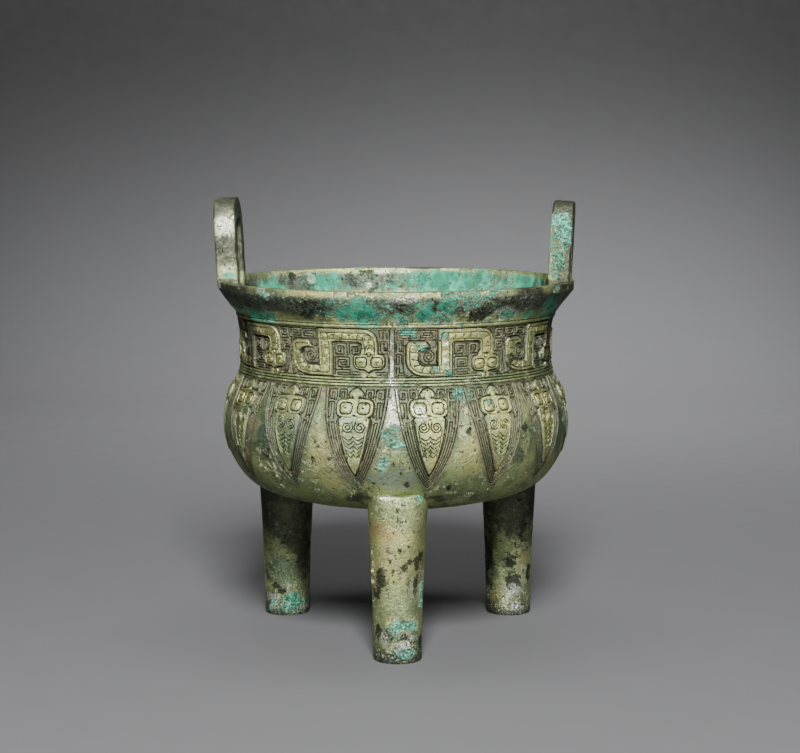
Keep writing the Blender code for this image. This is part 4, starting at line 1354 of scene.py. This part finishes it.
class DingPatina(bpy.types.PropertyGroup):
    """The colours of the patina."""
    olive: colour_setting("Olive", "Plain skin where it is green", (0.17, 0.22, 0.095))
    khaki: colour_setting("Khaki", "Plain skin where it is yellower", (0.405, 0.465, 0.20))
    pale: colour_setting("Pale", "Light blotches of the plain skin", (0.68, 0.71, 0.40))
    grey_green: colour_setting("Grey green", "Dull green places", (0.085, 0.135, 0.085))
    # Dark green is old green under the lip, darkened with painted shade.
    dark_green_and_shade: colour_setting("Dark green", "Old green under the lip", (0.055, 0.085, 0.07))
    # Golden serves rubbed and yellow places, and a painted highlight on the belly.
    golden_and_highlight: colour_setting("Golden", "Rubbed and yellow places", (0.45, 0.44, 0.165))
    # Ground is darkened by grime and painted shade.
    ground: colour_setting("Ground", "Metal between the grooves", (0.115, 0.098, 0.076))
    # Groove colour darkens the grooves with grime and painted shade, and the pits with grime.
    groove: colour_setting("Groove", "Dirt in grooves and pits", (0.022, 0.02, 0.012))
    bare: colour_setting("Bare", "Dark places that the crust has left", (0.032, 0.034, 0.026))
    # Whitened serves tin-rich places and also painted highlights.
    whitened_and_highlight: colour_setting("Whitened", "Pale tin-rich places", (0.80, 0.81, 0.70))
    mist: colour_setting("Mist", "Pale grey green film", (0.34, 0.42, 0.32))
    frost: colour_setting("Frost", "Fine light threads on the dark crust", (0.27, 0.38, 0.29))
    ochre: colour_setting("Ochre", "Rusty smears", (0.40, 0.27, 0.11))
    # Slate serves plain grey metal and also painted shade.
    slate_and_shade: colour_setting("Slate", "Plain grey metal", (0.05, 0.051, 0.045))
    wash: colour_setting("Wash", "Thin green inside the bowl", (0.014, 0.17, 0.10))
    wash_light: colour_setting("Light wash", "Streaks in the thin green", (0.04, 0.35, 0.22))
    verdigris: colour_setting("Verdigris", "Green crust", (0.008, 0.12, 0.068))
    verdigris_light: colour_setting("Light verdigris", "Powdery tops of the green crust", (0.11, 0.50, 0.34))


class DingStage(bpy.types.PropertyGroup):
    """The plain floor and the lights."""
    floor: colour_setting("Floor", "Paper under and behind the vessel", (0.077, 0.077, 0.08))
    key_power: power_setting("Key", "Light from the front", 95.0)
    fill_power: power_setting("Fill", "Low light from the front", 3.0)
    top_power: power_setting("Top", "Light from above", 6.5)
    wall_power: power_setting("Wall", "Light on the paper behind the vessel", 3.9)
    lens: bpy.props.FloatProperty(name="Lens", description="Focal length of the camera", default=94.32,
                                  min=20, max=300, subtype="DISTANCE_CAMERA")


class DING_OT_cast_vessel(bpy.types.Operator):
    """Cast bowl, legs, handles and carving in one piece"""
    bl_idname = "ding.cast_vessel"
    bl_label = "Cast the vessel"

    def execute(self, context):
        casting = context.scene.ding_casting
        piece = cast_vessel()
        weathered(piece, casting.swell / MM, casting.pitting / MM)
        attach(piece, "root")
        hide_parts("ding_vessel")
        return {"FINISHED"}


class DING_OT_lay_patina(bpy.types.Operator):
    """Lay the patina on the cast vessel"""
    bl_idname = "ding.lay_patina"
    bl_label = "Lay the patina"

    def execute(self, context):
        piece = bpy.data.objects["ding"]
        piece.data.materials.clear()
        piece.data.materials.append(bronze_patina(context.scene.ding_patina))
        return {"FINISHED"}


class DING_OT_set_stage(bpy.types.Operator):
    """Set up floor, lights and camera"""
    bl_idname = "ding.set_stage"
    bl_label = "Set the stage"

    def execute(self, context):
        stage = context.scene.ding_stage
        backdrop(stage.floor)
        soft_light("key", KEY_PLACE, KEY_SIZE, stage.key_power)
        soft_light("fill", FILL_PLACE, FILL_SIZE, stage.fill_power)
        soft_light("top", TOP_PLACE, TOP_SIZE, stage.top_power)
        wall_light = soft_light("wall", WALL_LIGHT_PLACE, WALL_LIGHT_SIZE, stage.wall_power, WALL_LIGHT_AIM)
        wall_light.spread = radians(WALL_LIGHT_SPREAD)
        world = bpy.data.worlds.new("studio")
        world.use_nodes = True
        world.node_tree.nodes["Background"].inputs["Color"].default_value = (*WORLD_COLOUR, 1)
        context.scene.world = world
        camera = bpy.data.objects.new("camera", bpy.data.cameras.new("camera"))
        camera.data.lens = stage.lens
        camera.location = Vector(CAMERA_PLACE) * MM
        camera.rotation_euler = (radians(90.0 - CAMERA_DIP), 0, 0)
        context.scene.collection.objects.link(camera)
        context.scene.camera = camera
        return {"FINISHED"}


class DING_PT_sidebar(bpy.types.Panel):
    """The steps that make the vessel"""
    bl_label = "Bronze Ding"
    bl_space_type = "VIEW_3D"
    bl_region_type = "UI"
    bl_category = "Ding"

    def draw(self, context):
        for group, operator in ((context.scene.ding_casting, DING_OT_cast_vessel),
                                (context.scene.ding_patina, DING_OT_lay_patina),
                                (context.scene.ding_stage, DING_OT_set_stage)):
            box = self.layout.box()
            for name in group.__annotations__:
                box.prop(group, name)
            box.operator(operator.bl_idname)


CLASSES = (DingCasting, DingPatina, DingStage, DING_OT_cast_vessel, DING_OT_lay_patina, DING_OT_set_stage,
           DING_PT_sidebar)


def register():
    for part in CLASSES:
        bpy.utils.register_class(part)
    bpy.types.Scene.ding_casting = bpy.props.PointerProperty(type=DingCasting)
    bpy.types.Scene.ding_patina = bpy.props.PointerProperty(type=DingPatina)
    bpy.types.Scene.ding_stage = bpy.props.PointerProperty(type=DingStage)


def unregister():
    del bpy.types.Scene.ding_casting, bpy.types.Scene.ding_patina, bpy.types.Scene.ding_stage
    for part in reversed(CLASSES):
        bpy.utils.unregister_class(part)


def main():
    register()
    bpy.ops.ding.cast_vessel()
    bpy.ops.ding.lay_patina()
    bpy.ops.ding.set_stage()


if __name__ == "__main__":
    main()
